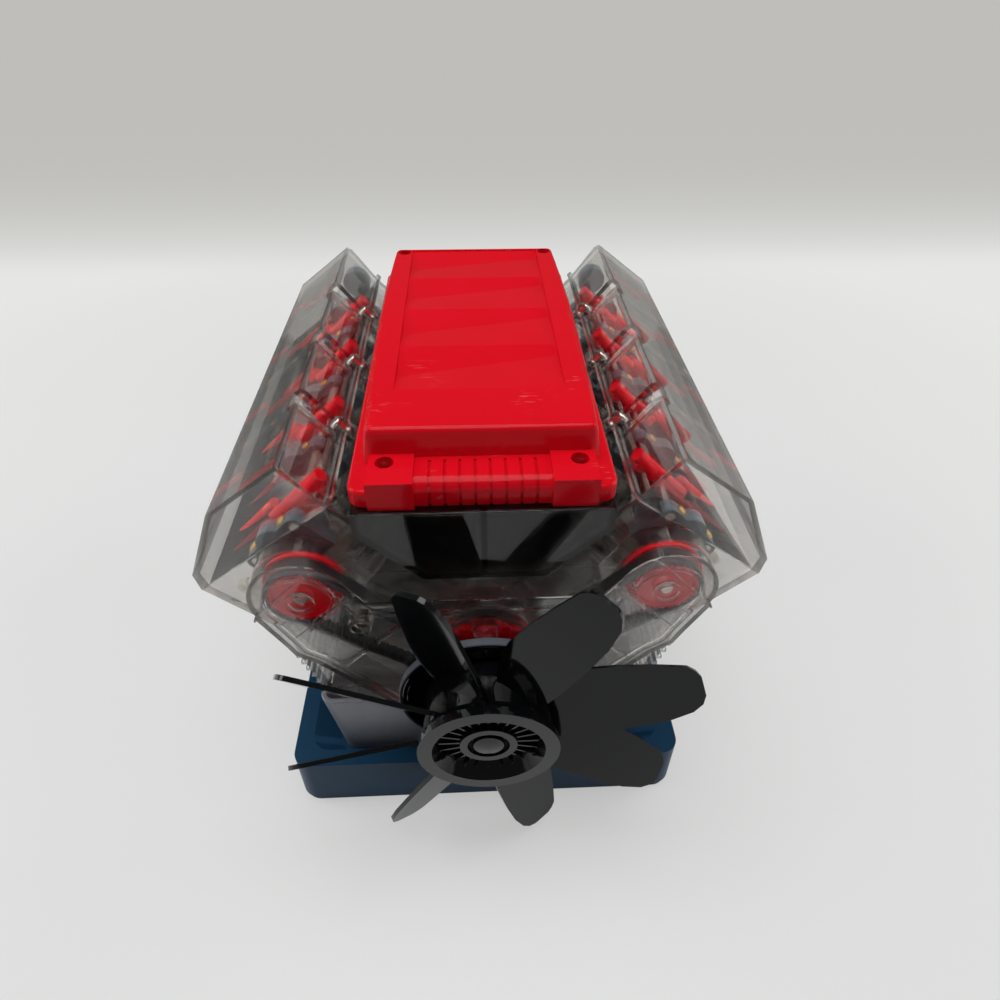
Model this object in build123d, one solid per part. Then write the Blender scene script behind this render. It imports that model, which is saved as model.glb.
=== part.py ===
from build123d import *
import os
from math import asin, atan2, cos, degrees, hypot, pi, radians, sin, sqrt

# A transparent teaching model of a four stroke V8 engine on a blue stand.
# Lengths are millimetres and angles degrees. The working origin is on the crank axis, in the
# block's front plane: x runs across, y back from the fan, z up. Each bank has its own axes,
# with x outward across the bank and z along its cylinders, and is turned into place at the end.

# Shared clearances and tool lengths
overrun = 3.0                 # how far a cutting tool passes its surface
seat_gap = 0.1                # between two fixed pieces that sit on each other
running_gap = 0.06            # radial, shaft in bearing
free_gap = 0.3                # between moving pieces that don't touch

# Main layout
crank_height = 96.0           # crank axis above the table
bank_angle = 45.0             # each bank leans this far from upright
fan_reach = 47.0              # fan front ahead of the block's front plane
cylinder_pitch = 51.0
bank_stagger = 4.0            # each bank's cylinders lie this far from the throw's middle
cylinders_per_bank = 4
throw_radius = 14.0
rod_length = 54.0
block_end = 26.0              # outer cylinders' throws to the block's ends
block_length = cylinder_pitch * (cylinders_per_bank - 1) + 2 * block_end

# Block
pan_rail_drop = 21.0          # block's lower face below the crank axis
pan_rail_half_width = 76.0
skirt_half_width = 84.0
skirt_rise = 8.0
head_inner = -26.0            # bank x of the head's inner side
head_outer = 44.0
valley_floor_rise = 44.0
block_wall = 2.6
bulkhead_thickness = 7.0
end_wall = 4.0
bore_radius = 16.1
liner_wall = 2.1
liner_foot = 29.0             # liners start this far out from the crank axis
side_rib_count = 6
side_rib_pitch = 4.9
side_rib_thickness = 1.9
side_rib_depth = 2.4

# Crankshaft
journal_radius = 6.0
nose_radius = 4.5
web_radius = 24.0
web_thickness = 5.0
web_gap = 8.0                 # throw middle to a web's inner face
crankpin_radius = 5.0
cap_width = 26.0
cap_height = 14.0

# Pistons and rods
piston_radius = 15.8
piston_wall = 2.3
crown_rise = 10.0             # wrist pin to crown
skirt_drop = 8.0              # wrist pin to skirt edge
crown_thickness = 3.5
ring_groove_depth = 0.9
ring_groove_width = 1.4
ring_groove_drop = 3.0
wrist_radius = 2.5
rod_width = 6.2
big_end_radius = 8.2
small_end_radius = 4.6
shank_root = 9.0
shank_tip = 5.6
deck_clearance = 2.0          # a piston's highest crown to the heads
deck_height = throw_radius + rod_length + crown_rise + deck_clearance    # crank axis to the heads

# Heads
head_end_gap = 3.0            # heads stop this far short of the block's back
head_length = block_length - head_end_gap
head_floor_rise = 6.2         # deck to the head's inner floor
head_wall = 2.6
# bank z of the cover's seat, inner and outer side
inner_wall_height = 26.3
outer_wall_height = 36.3
cover_foot_inner = deck_height + inner_wall_height
cover_foot_outer = deck_height + outer_wall_height
chamber_radius = 15.5
chamber_depth = 3.0
pedestal_depth = 6.6

# Valve train
cam_x = 6.5                   # cam axis in the bank's own axes
cam_rise = 12.5               # deck to the cam axis
cam_z = deck_height + cam_rise
cam_shaft_radius = 3.2
cam_journal_radius = 4.0
lobe_base_radius = 4.5
lobe_lift = 1.5
lobe_nose_radius = 2.4
lobe_width = 5.0
valve_side = 5.4              # valves lie this far either side of the cylinder's middle
stem_radius = 1.2
valve_disc = 1.2              # thickness of a valve's head
valve_length = 25.0
valve_seat_rise = 3.0         # valve seat above the deck
guide_wall = 1.5
spring_seat = 13.0            # seat along the valve, measured from its head
retainer_radius = 3.2
retainer_drop = 3.2
retainer_thickness = 1.2
spring_radius = 3.6
spring_wire = 1.0
valve_lash = 1.4              # room for the rocker's stroke
intake_foot_x = -6.0          # bank x of a valve's seat
intake_lean = -28.0
intake_head_radius = 5.5
intake_pivot_x = -8.0
intake_toe_x = 3.2            # bank x of the rocker's cam foot
exhaust_foot_x = 11.0
exhaust_lean = 38.0
exhaust_head_radius = 4.4
exhaust_pivot_x = 17.0
exhaust_toe_x = 9.8
rocker_pivot_rise = 16.5       # cam axis to the rockers' pivots
rocker_pivot_z = cam_z + rocker_pivot_rise
rocker_shaft_radius = 2.0
rocker_width = 5.6
rocker_bar_radius = 3.0
rocker_bar_rise = 2.6         # bar's middle above the pivot
rocker_boss_radius = 4.3
rocker_leg_radius = 1.8
rocker_reach = 4.0            # bar's end beyond its valve pad
toe_rise = 8.4                # rocker's cam foot above the cam axis

# Bearing stands over the camshafts
stand_low = -11.5             # bank x limits of a stand's foot
stand_high = 21.0
stand_foot_rise = 5.0
stand_post_radius = 3.6
stand_hump_x = 4.6
stand_hump_radius = 7.2
stand_cap_rise = 3.7          # the cap's shoulders above the rocker shafts' axes
brass_screw_spread = 9.2
stand_disc_radius = 7.5       # a round disc on each rear stand
stand_disc_x = -17.2
stand_disc_rise = 23.5        # cam axis to the disc's middle
brass_head_radius = 2.0
brass_head_height = 1.5
brass_shank_radius = 1.0
brass_shank_length = 7.0

# Rocker covers
cover_length = head_length
cover_wall = 2.0
ridge_x = -28.6
ridge_rise = 24.6              # the outline's corners above the cover's inner or outer seat
crown_x = 7.3
cover_crown_rise = 29.8
brow_x = 39.0
brow_rise = 7.4
tip_x = 44.5
ridge_lip_out = 0.9           # a narrow facet along the ridge
ridge_lip_drop = 2.7
cover_flange_reach = 3.2      # flange along the inner foot, inward and up
cover_flange_height = 2.2
cover_flange_corner = 2.4
# The three screws of a cover, as shares of its length
cover_bolt_shares = (0.228, 0.483, 0.738)
cover_channel_half_width = 5.2
cover_channel_x = -28.4
cover_channel_depth = 3.4      # from the screws' axis inward
channel_wall = 1.5
channel_floor_rise = 5.2
cover_boss_radius = 3.6
head_boss_drop = 4.3          # the head's screw bosses start below the cover's seat

# Timing drive
cam_pulley_radius = 12.6
cam_flange_radius = 15.4
cam_flange_thickness = 1.6
crank_sprocket_radius = cam_pulley_radius / 2
idler_radius = 6.0
idler_rise = 17.5
idler_pin_radius = 2.0
belt_front = -13.5
belt_back = -7.5
belt_thickness = 1.5
crank_gear_radius = 31.0
crank_gear_front = -5.6
crank_gear_back = -1.6
crank_gear_teeth = 40
crank_gear_tooth_depth = 1.8
# Where a tooth's root starts and ends and its tip starts and ends, as shares of a tooth's pitch
tooth_shares = (0.0, 0.3, 0.45, 0.8)
pulley_rim = 1.6
timing_wall = 1.6
timing_front = -16.5
lobe_outer_radius = 19.5
bar_drop = 1.6                # the case's straight top below the cam axes
bar_end_inset = 24.0
timing_side_reach = 19.0
timing_side_drop = 8.8
# The case's side from lobe to foot, as shares of that half width and height
timing_side_shares = ((1, 1), (0.903, 0.654), (0.875, 0.538), (0.787, 0.423), (0.427, -0.269))
timing_foot_radius = 34.4     # the case's round foot, about the crank axis
# the lobes' ribs from the cam axis, along the bank
lobe_rib_upper = 7.2
lobe_rib_middle = -11.6
lobe_rib_lower = -36.0
lobe_rib_reach = 20.0
hub_hole_radius = 9.0
loop_rib_inset = 5.4          # a rib that follows the case's outline
pin_ring_radius = 5.6         # a ring round each cam pin's place
pin_ring_bore = 4.2
case_screw_x = 4.5            # the case's two screws, in the bank's axes
case_screw_drop = 26.5
case_boss_radius = 4.8
case_screw_bore = 3.6
case_screw_depth = 4.0
case_screw_length = 14.0
timing_rib_height = 1.2
timing_rib_width = 1.6

# Fan and its pulley
crank_pulley_radius = 26.0
crank_pulley_front = -21.8
crank_pulley_back = -17.2
pulley_groove_depth = 1.5
fan_tip_radius = 89.8
fan_barrel_radius = 27.0
fan_ring_radius = 29.2
fan_ring_bore = 23.2
fan_back = -21.9
fan_ring_depth = 7.0
fan_floor = 6.0               # recess floor behind the fan's front
fan_small_ring_drop = 3.0     # small ring and dome edge behind the fan's front
fan_dome_drop = 2.0
fan_vane_drop = 3.6
fan_vane_count = 24
fan_vane_thickness = 0.9
fan_vane_radius = 20.0
fan_small_ring_radius = 11.9
fan_small_ring_bore = 8.7
fan_dome_radius = 6.3
blade_count = 8
blade_first_angle = 17.5
blade_pitch = 32.0
blade_thickness = 2.0
blade_width = 31.0
blade_middle = -35.5
blade_root_radius = 26.0
# Blade outline: along the blade from root to tip, and across it, as shares of length and width
blade_outline_shares = (
    (0, -0.3), (0.15, -0.34), (0.3, -0.37), (0.55, -0.4), (0.75, -0.4), (0.9, -0.35),
    (0.97, -0.27), (1, -0.16), (1, 0.1), (0.975, 0.19), (0.93, 0.27), (0.75, 0.37),
    (0.5, 0.48), (0.3, 0.53), (0.13, 0.47), (0, 0.34),
)

# Intake side
plenum_half_width = 48.0
plenum_front = -7.0
plenum_end_gap = 13.0         # plenum stops this far short of the block's back
plenum_back = block_length - plenum_end_gap
plenum_foot = 61.0
plenum_wall = 2.0
plenum_web = 1.6              # upright web down the plenum's middle
plenum_head_gap = 0.3
lid_base = 96.0
lid_half_width = 49.0
lid_front = -3.0
lid_end_gap = 2.0
lid_back = plenum_back - lid_end_gap
lid_flange_height = 7.0
lid_flange_edge = 1.8         # radius of the flange's upper edge
lid_corner = 6.0
lid_body_front = 10.5
lid_body_end_gap = 1.5        # body stops this far short of the flange's back
lid_body_back = lid_back - lid_body_end_gap
lid_body_half_width = 45.5
lid_body_bulge = 2.4          # sides bow out by this much at mid-length
lid_body_draft = 3.5          # each side leans in this far over its height
lid_body_edge = 2.6           # radius of the body's upper edge
lid_top = 118.0
lid_wall = 2.2
lid_pad_top = 108.0
lid_pad_inner = 24.8
lid_pad_outer = 41.4
lid_pad_front = -5.0
lid_screw_x = 35.4
lid_screw_y = 7.6
lid_rear_screw_x = 37.6
lid_rear_screw_inset = 8.6    # from the body's back to its rear screws
lid_screw_back = lid_body_back - lid_rear_screw_inset
screw_counterbore_radius = 3.4
screw_counterbore_depth = 5.6
lid_grip_top = 106.6
lid_grip_edge = 5.0           # radius of the grip's upper front edge
lid_grip_count = 9
lid_grip_groove = 1.0
panel_front = 40.0
panel_end_gap = 6.5
panel_back = lid_body_back - panel_end_gap
panel_half_width = 33.6
panel_depth = 2.4
panel_shallow = 0.6
panel_louvres = 4
# Where each louvre's deep crease lies on its left and right side, as shares of its pitch
crease_left_share = 0.4
crease_right_share = 0.81
steel_head_radius = 2.9
steel_head_height = 1.9
steel_shank_radius = 1.4
steel_shank_length = 6.5

# Sump and stand
pan_top_half_width = 78.0
pan_foot_half_width = 73.0
pan_foot_height = 27.4
pan_front = -8.0
pan_end_gap = 1.0
pan_back = block_length - pan_end_gap
pan_foot_front = -5.0
pan_foot_end_gap = 17.0
pan_foot_back = block_length - pan_foot_end_gap
pan_corner = 6.0
pan_wall = 2.6
base_half_width = 97.6
base_height = 34.6
base_front = -18.3
base_corner = 9.0
base_draft = 1.2
base_wall = 2.6
base_rim = 9.0
floor_plate_height = 3.4
floor_plate_inset = 0.7

# Spark plugs
plug_radius = 2.6
plug_nose_radius = 1.4
plug_tip_x = 14.5
plug_tip_rise = 5.0           # a plug's two ends above the deck
plug_tip_z = deck_height + plug_tip_rise
plug_end_x = 50.0
plug_end_rise = 21.5
plug_end_z = deck_height + plug_end_rise
plug_nose_length = 9.0
plug_side = -7.0

# How many flats the small repeated pieces have in place of a round
screw_sides = 10
spring_sides = 8
bar_sides = 16
valve_sides = 12

# Worked out from the sizes above
base_length = block_length - base_front
front_y = fan_reach - (fan_reach + block_length) / 2
throws = [block_end + cylinder_pitch * i for i in range(cylinders_per_bank)]
bulkhead_ys = [end_wall / 2 + seat_gap] + [y + cylinder_pitch / 2 for y in throws[:-1]]
bulkhead_ys += [block_length - end_wall / 2 - seat_gap]
throw_turns = (0, 1, 3, 2)    # quarter turns of the four crankpins, cross-plane
pedestal_inset = head_wall + seat_gap + pedestal_depth / 2
pedestal_ys = [pedestal_inset, *bulkhead_ys[1:-1], head_length - pedestal_inset]
cover_bolt_ys = [cover_length * share for share in cover_bolt_shares]
ridge_z = cover_foot_inner + ridge_rise
crown_z = cover_foot_inner + cover_crown_rise
brow_z = cover_foot_outer + brow_rise
cover_channel_floor = cover_foot_inner + channel_floor_rise
head_boss_foot = cover_foot_inner - head_boss_drop
head_floor = deck_height + head_floor_rise
plenum_top = lid_base - seat_gap
intake = {
    "foot": intake_foot_x, "lean": intake_lean, "head": intake_head_radius,
    "pivot": (intake_pivot_x, rocker_pivot_z), "toe": intake_toe_x,
}
exhaust = {
    "foot": exhaust_foot_x, "lean": exhaust_lean, "head": exhaust_head_radius,
    "pivot": (exhaust_pivot_x, rocker_pivot_z), "toe": exhaust_toe_x,
}
lobe_radius = lobe_base_radius + lobe_lift
cam_across = (cam_x + cam_z) * sin(radians(bank_angle))
cam_up = (cam_z - cam_x) * cos(radians(bank_angle))
bar_rise = cam_up - bar_drop
bar_half_length = cam_across - bar_end_inset
timing_half_width = cam_across + timing_side_reach
timing_side_height = cam_up - timing_side_drop


def outline(points):
    return make_face(Polyline(*points, close=True))


def slab(face, y_front, y_back):
    """A flat outline drawn in x and z, made solid from y_front to y_back."""
    return extrude(Plane.XZ.offset(-y_back) * face, amount=y_back - y_front)


def bar(radius, y_front, y_back, x=0.0, z=0.0):
    """A round bar along y."""
    return Pos(x, (y_front + y_back) / 2, z) * Rot(90, 0, 0) * Cylinder(radius, y_back - y_front)


def box(x_span, y_span, z_span):
    (x0, x1), (y0, y1), (z0, z1) = x_span, y_span, z_span
    return Pos((x0 + x1) / 2, (y0 + y1) / 2, (z0 + z1) / 2) * Box(x1 - x0, y1 - y0, z1 - z0)


def turned(profile, start, lean, y):
    """A profile of (radius, height) points turned about an axis that leans across the bank."""
    solid = revolve(Plane.XZ * outline(profile), Axis.Z)
    return Pos(start[0], y, start[1]) * Rot(0, lean, 0) * solid


def facetted(radius, height, sides):
    return extrude(RegularPolygon(radius, sides), amount=height)


def on_bank(shape, side):
    """Turns a piece from its bank's own axes into the engine's, side 1 right and -1 left."""
    placed = Rot(0, bank_angle, 0) * shape
    return placed if side > 0 else mirror(placed, about=Plane.YZ)


def cylinder_ys(side):
    return [y + side * bank_stagger for y in throws]


def save(name, shape):
    placed = Pos(0, front_y, crank_height) * shape
    placed.label = name
    export_step(placed, f"parts/{name}.step")


def bank_point(x, z):
    """A point of the right bank's axes, in the engine's x and z."""
    turn = radians(bank_angle)
    return (x * cos(turn) + z * sin(turn), z * cos(turn) - x * sin(turn))


def mirrored_outline(points):
    """Closes a right half outline, listed from bottom to top, with its left half."""
    return outline(list(points) + [(-x, z) for x, z in reversed(points)])


# The block: a clear shell with five bulkheads and eight liners
def block_outline():
    deck_low = bank_point(head_outer, deck_height)
    deck_up = bank_point(head_inner, deck_height)
    valley = deck_up[0] - (deck_up[1] - valley_floor_rise)
    return mirrored_outline([
        (pan_rail_half_width, -pan_rail_drop),
        (skirt_half_width, skirt_rise),
        deck_low,
        deck_up,
        (valley, valley_floor_rise),
    ])


def make_block():
    shell = slab(block_outline(), 0, block_length)
    hollow = offset(block_outline(), amount=-block_wall, kind=Kind.INTERSECTION)
    mouth = outline([
        (-pan_rail_half_width + block_wall, -pan_rail_drop - overrun),
        (pan_rail_half_width - block_wall, -pan_rail_drop - overrun),
        (pan_rail_half_width - block_wall, -pan_rail_drop + 2 * block_wall),
        (-pan_rail_half_width + block_wall, -pan_rail_drop + 2 * block_wall),
    ])
    bays = []
    for i in range(cylinders_per_bank):
        y_front = bulkhead_ys[i] + bulkhead_thickness / 2 if i else end_wall
        last = i == cylinders_per_bank - 1
        y_back = block_length - end_wall if last else bulkhead_ys[i + 1] - bulkhead_thickness / 2
        bays.append(slab(hollow + mouth, y_front, y_back))
    shell = shell - bays
    liners, bores = [], []
    for side in (1, -1):
        for y in cylinder_ys(side):
            middle = (liner_foot + deck_height) / 2
            liner = Pos(0, y, middle) * Cylinder(bore_radius + liner_wall, deck_height - liner_foot)
            bore = Pos(0, y, middle + overrun / 2) * Cylinder(
                bore_radius, deck_height - liner_foot + overrun
            )
            liners.append(on_bank(liner, side))
            bores.append(on_bank(bore, side))
    shell = shell + liners + side_ribs()
    shell = shell - bores
    saddle = cap_width / 2 + seat_gap
    tunnel = box((-saddle, saddle), (-overrun, block_length + overrun), (-pan_rail_drop - overrun, 0))
    shaft = bar(journal_radius + running_gap, -overrun, block_length + overrun)
    holes = [bar(steel_shank_radius + seat_gap, -overrun, end_wall, x, z) for x, z in case_screws()]
    return shell - tunnel - shaft - holes


def side_ribs():
    """Ribs along both sides, stepping in towards the sump as the side does."""
    lean = (skirt_half_width - pan_rail_half_width) / (skirt_rise + pan_rail_drop)
    ribs = []
    for i in range(side_rib_count):
        low = -pan_rail_drop + i * side_rib_pitch
        root = pan_rail_half_width + lean * (low + pan_rail_drop) - block_wall / 2
        for side in (1, -1):
            x_span = sorted((side * root, side * (root + side_rib_depth + block_wall / 2)))
            ribs.append(box(x_span, (0, block_length), (low, low + side_rib_thickness)))
    return ribs


def make_bearing_caps():
    """Five caps that hold the crankshaft up against the bulkheads."""
    half = cap_width / 2
    shoulder = cap_height / 2
    face = outline([
        (-half, 0), (-half, -shoulder), (-shoulder, -cap_height),
        (shoulder, -cap_height), (half, -shoulder), (half, 0),
    ]) - Circle(journal_radius + running_gap)
    caps = []
    for y in bulkhead_ys:
        thickness = end_wall if y in (bulkhead_ys[0], bulkhead_ys[-1]) else bulkhead_thickness
        y_front = max(y - thickness / 2, 0)
        y_back = min(y + thickness / 2, block_length)
        caps.append(slab(face & outline([
            (-half, -seat_gap), (-half, -pan_rail_drop), (half, -pan_rail_drop), (half, -seat_gap),
        ]), y_front, y_back))
    return Compound(children=caps)


# The crank train
def make_crankshaft():
    """Journals and full disc webs. The crankpins ride in the rods' big ends."""
    spans = []
    y_start = crank_pulley_front
    for throw in throws:
        spans.append((y_start, throw - web_gap))
        y_start = throw + web_gap
    spans.append((y_start, block_length))
    pieces = []
    for i, (y_front, y_back) in enumerate(spans):
        nose_end = crank_gear_back if i == 0 else y_front
        piece = bar(journal_radius, nose_end, y_back)
        if i == 0:
            piece = piece + bar(nose_radius, y_front, nose_end + overrun)
        if i > 0:
            piece = piece + bar(web_radius, y_front, y_front + web_thickness)
        if i < len(throws):
            piece = piece + bar(web_radius, y_back - web_thickness, y_back)
        pieces.append(piece)
    return Compound(children=pieces)


def crank_phase(side, index):
    """Crankpin angle from this bank's cylinder axis, turning outward across the bank."""
    return (throw_turns[index] * pi / 2 - side * radians(bank_angle)) * side


def rod_pose(side, index):
    """Crankpin place in the bank's axes, and the wrist pin's height above the crank axis."""
    phase = crank_phase(side, index)
    pin_x = throw_radius * sin(phase)
    pin_z = throw_radius * cos(phase)
    return pin_x, pin_z, pin_z + sqrt(rod_length ** 2 - pin_x ** 2)


def make_piston(side, index):
    y = cylinder_ys(side)[index]
    wrist = rod_pose(side, index)[2]
    groove_top = crown_rise - ring_groove_drop
    groove_low = groove_top - ring_groove_width
    cup = turned([
        (piston_radius - piston_wall, -skirt_drop),
        (piston_radius, -skirt_drop),
        (piston_radius, groove_low),
        (piston_radius - ring_groove_depth, groove_low),
        (piston_radius - ring_groove_depth, groove_top),
        (piston_radius, groove_top),
        (piston_radius, crown_rise),
        (0, crown_rise),
        (0, crown_rise - crown_thickness),
        (piston_radius - piston_wall, crown_rise - crown_thickness),
    ], (0, 0), 0, 0)
    reach = piston_radius - piston_wall / 2
    cup = cup + bar(wrist_radius, -reach, reach)
    return on_bank(Pos(0, y, wrist) * cup, side)


def make_rod(side, index):
    """A rod from the crankpin to the wrist pin, with its half of the crankpin in the big end."""
    pin_x, pin_z, wrist = rod_pose(side, index)
    lean = degrees(atan2(-pin_x, wrist - pin_z))
    shank = outline([
        (-shank_root / 2, 0), (shank_root / 2, 0), (shank_tip / 2, rod_length), (-shank_tip / 2, rod_length),
    ])
    face = Circle(big_end_radius) + shank + Pos(0, rod_length) * Circle(small_end_radius)
    face = face - Circle(crankpin_radius + running_gap)
    face = face - Pos(0, rod_length) * Circle(wrist_radius + running_gap)
    rod = slab(face, -rod_width / 2, rod_width / 2)
    inner = bank_stagger - free_gap / 2
    outer = web_gap - free_gap - bank_stagger
    pin_half = bar(crankpin_radius, -inner if side > 0 else -outer, outer if side > 0 else inner)
    place = Pos(pin_x, cylinder_ys(side)[index], pin_z) * Rot(0, lean, 0)
    return Compound(children=[on_bank(place * rod, side), on_bank(place * pin_half, side)])


# Heads and valve train
def valve_rows(side):
    """Each valve's side of the head and its y, front to back."""
    rows = []
    for y in cylinder_ys(side):
        rows.append((intake, y - valve_side))
        rows.append((exhaust, y + valve_side))
    return rows


def valve_start(kind):
    return (kind["foot"], deck_height + valve_seat_rise)


def along_valve(kind, distance):
    lean = radians(kind["lean"])
    x, z = valve_start(kind)
    return (x + distance * sin(lean), z + distance * cos(lean))


def head_outline():
    return outline([
        (head_inner, deck_height), (head_outer, deck_height),
        (head_outer, cover_foot_outer), (head_inner, cover_foot_inner),
    ])


def make_head(side):
    shell = slab(head_outline(), 0, head_length)
    room = outline([
        (head_inner + head_wall, head_floor), (head_outer - head_wall, head_floor),
        (head_outer - head_wall, cover_foot_outer + overrun),
        (head_inner + head_wall, cover_foot_outer + overrun),
    ])
    shell = shell - slab(room, head_wall, head_length - head_wall)
    towers = []
    for kind, y in valve_rows(side):
        guide = stem_radius + guide_wall
        profile = [(0, 0), (guide, 0), (guide, spring_seat), (0, spring_seat)]
        towers.append(turned(profile, valve_start(kind), kind["lean"], y))
    shell = shell + towers - bar(lobe_radius + 2 * free_gap, head_wall, head_length - head_wall, cam_x, cam_z)
    web = outline([
        (head_inner + head_wall / 2, head_floor - overrun / 2),
        (head_outer - head_wall / 2, head_floor - overrun / 2),
        (head_outer - head_wall / 2, cam_z), (head_inner + head_wall / 2, cam_z),
    ])
    shell = shell + [slab(web, y - pedestal_depth / 2, y + pedestal_depth / 2) for y in pedestal_ys]
    shell = shell + [
        cover_post(y, cover_boss_radius, head_boss_foot, cover_foot_inner) for y in cover_bolt_ys
    ]
    cuts = [bar(cam_journal_radius + running_gap, -overrun, pedestal_ys[-1] + pedestal_depth, cam_x, cam_z)]
    cuts += [cover_screw_hole(y) for y in cover_bolt_ys]
    cuts += [plug_shape(y, running_gap) for y in cylinder_ys(side)]
    for y in cylinder_ys(side):
        middle = deck_height + (chamber_depth - overrun) / 2
        cuts.append(Pos(0, y, middle) * Cylinder(chamber_radius, chamber_depth + overrun))
    for kind, y in valve_rows(side):
        pocket = kind["head"] + free_gap
        bore = stem_radius + running_gap
        seat = valve_disc + seat_gap
        profile = [(0, -overrun), (pocket, -overrun), (pocket, seat), (bore, seat)]
        profile += [(bore, spring_seat + overrun), (0, spring_seat + overrun)]
        cuts.append(turned(profile, valve_start(kind), kind["lean"], y))
    return on_bank(shell - cuts, side)


def cover_post(y, radius, z_low, z_high):
    """A round post on the axis of one cover screw."""
    return Pos(cover_channel_x, y, (z_low + z_high) / 2) * Cylinder(radius, z_high - z_low)


def cover_screw_hole(y):
    radius = steel_shank_radius + seat_gap
    return cover_post(y, radius, head_boss_foot + block_wall, cover_channel_floor + overrun)


def plug_shape(y, grow):
    """A spark plug's nose and body, grown by a clearance for its hole."""
    across, up = plug_end_x - plug_tip_x, plug_end_z - plug_tip_z
    length = hypot(across, up)
    lean = degrees(atan2(across, up))
    profile = [
        (0, -grow), (plug_nose_radius + grow, -grow), (plug_nose_radius + grow, plug_nose_length),
        (plug_radius + grow, plug_nose_length), (plug_radius + grow, length), (0, length),
    ]
    return turned(profile, (plug_tip_x, plug_tip_z), lean, y + plug_side)


def make_spark_plugs():
    plugs = [on_bank(plug_shape(y, 0), side) for side in (1, -1) for y in cylinder_ys(side)]
    return Compound(children=plugs)


def make_valves():
    valves = []
    for side in (1, -1):
        for kind, y in valve_rows(side):
            rim = kind["head"]
            x, z = valve_start(kind)
            stem = facetted(stem_radius, valve_length, valve_sides)
            disc = facetted(rim, valve_disc, valve_sides)
            cup = Pos(0, 0, valve_length - retainer_drop) * facetted(
                retainer_radius, retainer_thickness, valve_sides
            )
            valve = Pos(x, y, z) * Rot(0, kind["lean"], 0) * (stem + disc + cup)
            valves.append(on_bank(valve, side))
    return Compound(children=valves)


def make_springs():
    """Plain sleeves in the springs' places."""
    springs = []
    low = spring_seat + seat_gap
    height = valve_length - retainer_drop - seat_gap - low
    for side in (1, -1):
        for kind, y in valve_rows(side):
            sleeve = facetted(spring_radius, height, spring_sides)
            sleeve = sleeve - facetted(spring_radius - spring_wire, height, spring_sides)
            x, z = along_valve(kind, low)
            springs.append(on_bank(Pos(x, y, z) * Rot(0, kind["lean"], 0) * sleeve, side))
    return Compound(children=springs)


def lobe_face(phase):
    nose = lobe_radius - lobe_nose_radius
    heel = Circle(lobe_base_radius)
    tip = Pos(nose * cos(phase), nose * sin(phase)) * Circle(lobe_nose_radius)
    return make_hull([*heel.edges(), *tip.edges()])


def make_camshaft(side):
    shaft = bar(cam_shaft_radius, belt_front, pedestal_ys[-1] + pedestal_depth / 2, cam_x, cam_z)
    for y in pedestal_ys:
        half = pedestal_depth / 2
        shaft = shaft + bar(cam_journal_radius, y - half, y + half, cam_x, cam_z)
    for index, (kind, y) in enumerate(valve_rows(side)):
        phase = crank_phase(side, index // 2) / 2 + (pi / 2 if kind is exhaust else 0)
        lobe = slab(Pos(cam_x, cam_z) * lobe_face(phase), y - lobe_width / 2, y + lobe_width / 2)
        shaft = shaft + lobe
    return on_bank(shaft, side)


def make_cam_stands():
    """Bearing stands on the heads: camshaft below, rocker shafts above, hump between two screws."""
    stands = []
    for side in (1, -1):
        for y in pedestal_ys:
            stands.append(on_bank(stand(y), side))
    return Compound(children=stands)


def stand(y):
    (in_x, in_z), (out_x, out_z) = intake["pivot"], exhaust["pivot"]
    foot = outline([
        (stand_low, cam_z + seat_gap), (stand_high, cam_z + seat_gap),
        (stand_high, cam_z + stand_foot_rise), (stand_low, cam_z + stand_foot_rise),
    ])
    post_in = outline([
        (in_x - stand_post_radius, cam_z + seat_gap), (in_x + stand_post_radius, cam_z + seat_gap),
        (in_x + stand_post_radius, in_z), (in_x - stand_post_radius, in_z),
    ])
    post_out = outline([
        (out_x - stand_post_radius, cam_z + seat_gap), (out_x + stand_post_radius, cam_z + seat_gap),
        (out_x + stand_post_radius, out_z), (out_x - stand_post_radius, out_z),
    ])
    bridge_top = in_z + stand_cap_rise
    bridge = outline([
        (in_x, in_z - stand_post_radius), (out_x, out_z - stand_post_radius),
        (out_x, bridge_top), (in_x, bridge_top),
    ])
    face = foot + post_in + post_out + bridge
    face = face + Pos(in_x, in_z) * Circle(stand_post_radius) + Pos(out_x, out_z) * Circle(stand_post_radius)
    face = face + Pos(stand_hump_x, in_z) * Circle(stand_hump_radius)
    if y == pedestal_ys[-1]:
        face = face + Pos(stand_disc_x, cam_z + stand_disc_rise) * Circle(stand_disc_radius)
    face = face - Pos(cam_x, cam_z) * Circle(cam_journal_radius + running_gap)
    for x, z in (intake["pivot"], exhaust["pivot"]):
        face = face - Pos(x, z) * Circle(rocker_shaft_radius + running_gap)
    solid = slab(face, y - pedestal_depth / 2, y + pedestal_depth / 2)
    for x in (stand_hump_x - brass_screw_spread, stand_hump_x + brass_screw_spread):
        hole = Pos(x, y, bridge_top - brass_shank_length) * facetted(
            brass_shank_radius + seat_gap, brass_shank_length + overrun, screw_sides
        )
        solid = solid - hole
    return solid


def make_brass_screws():
    screws = []
    top = intake["pivot"][1] + stand_cap_rise
    for side in (1, -1):
        for y in pedestal_ys:
            for x in (stand_hump_x - brass_screw_spread, stand_hump_x + brass_screw_spread):
                low = top - brass_shank_length + seat_gap
                shank = Pos(x, y, low) * facetted(brass_shank_radius, brass_shank_length, screw_sides)
                head = Pos(x, y, top + seat_gap) * facetted(brass_head_radius, brass_head_height, screw_sides)
                screws.append(on_bank(shank + head, side))
    return Compound(children=screws)


def make_rocker_shafts():
    shafts = []
    for side in (1, -1):
        for kind in (intake, exhaust):
            x, z = kind["pivot"]
            end = head_wall + free_gap
            shafts.append(on_bank(bar(rocker_shaft_radius, end, head_length - end, x, z), side))
    return Compound(children=shafts)


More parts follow.
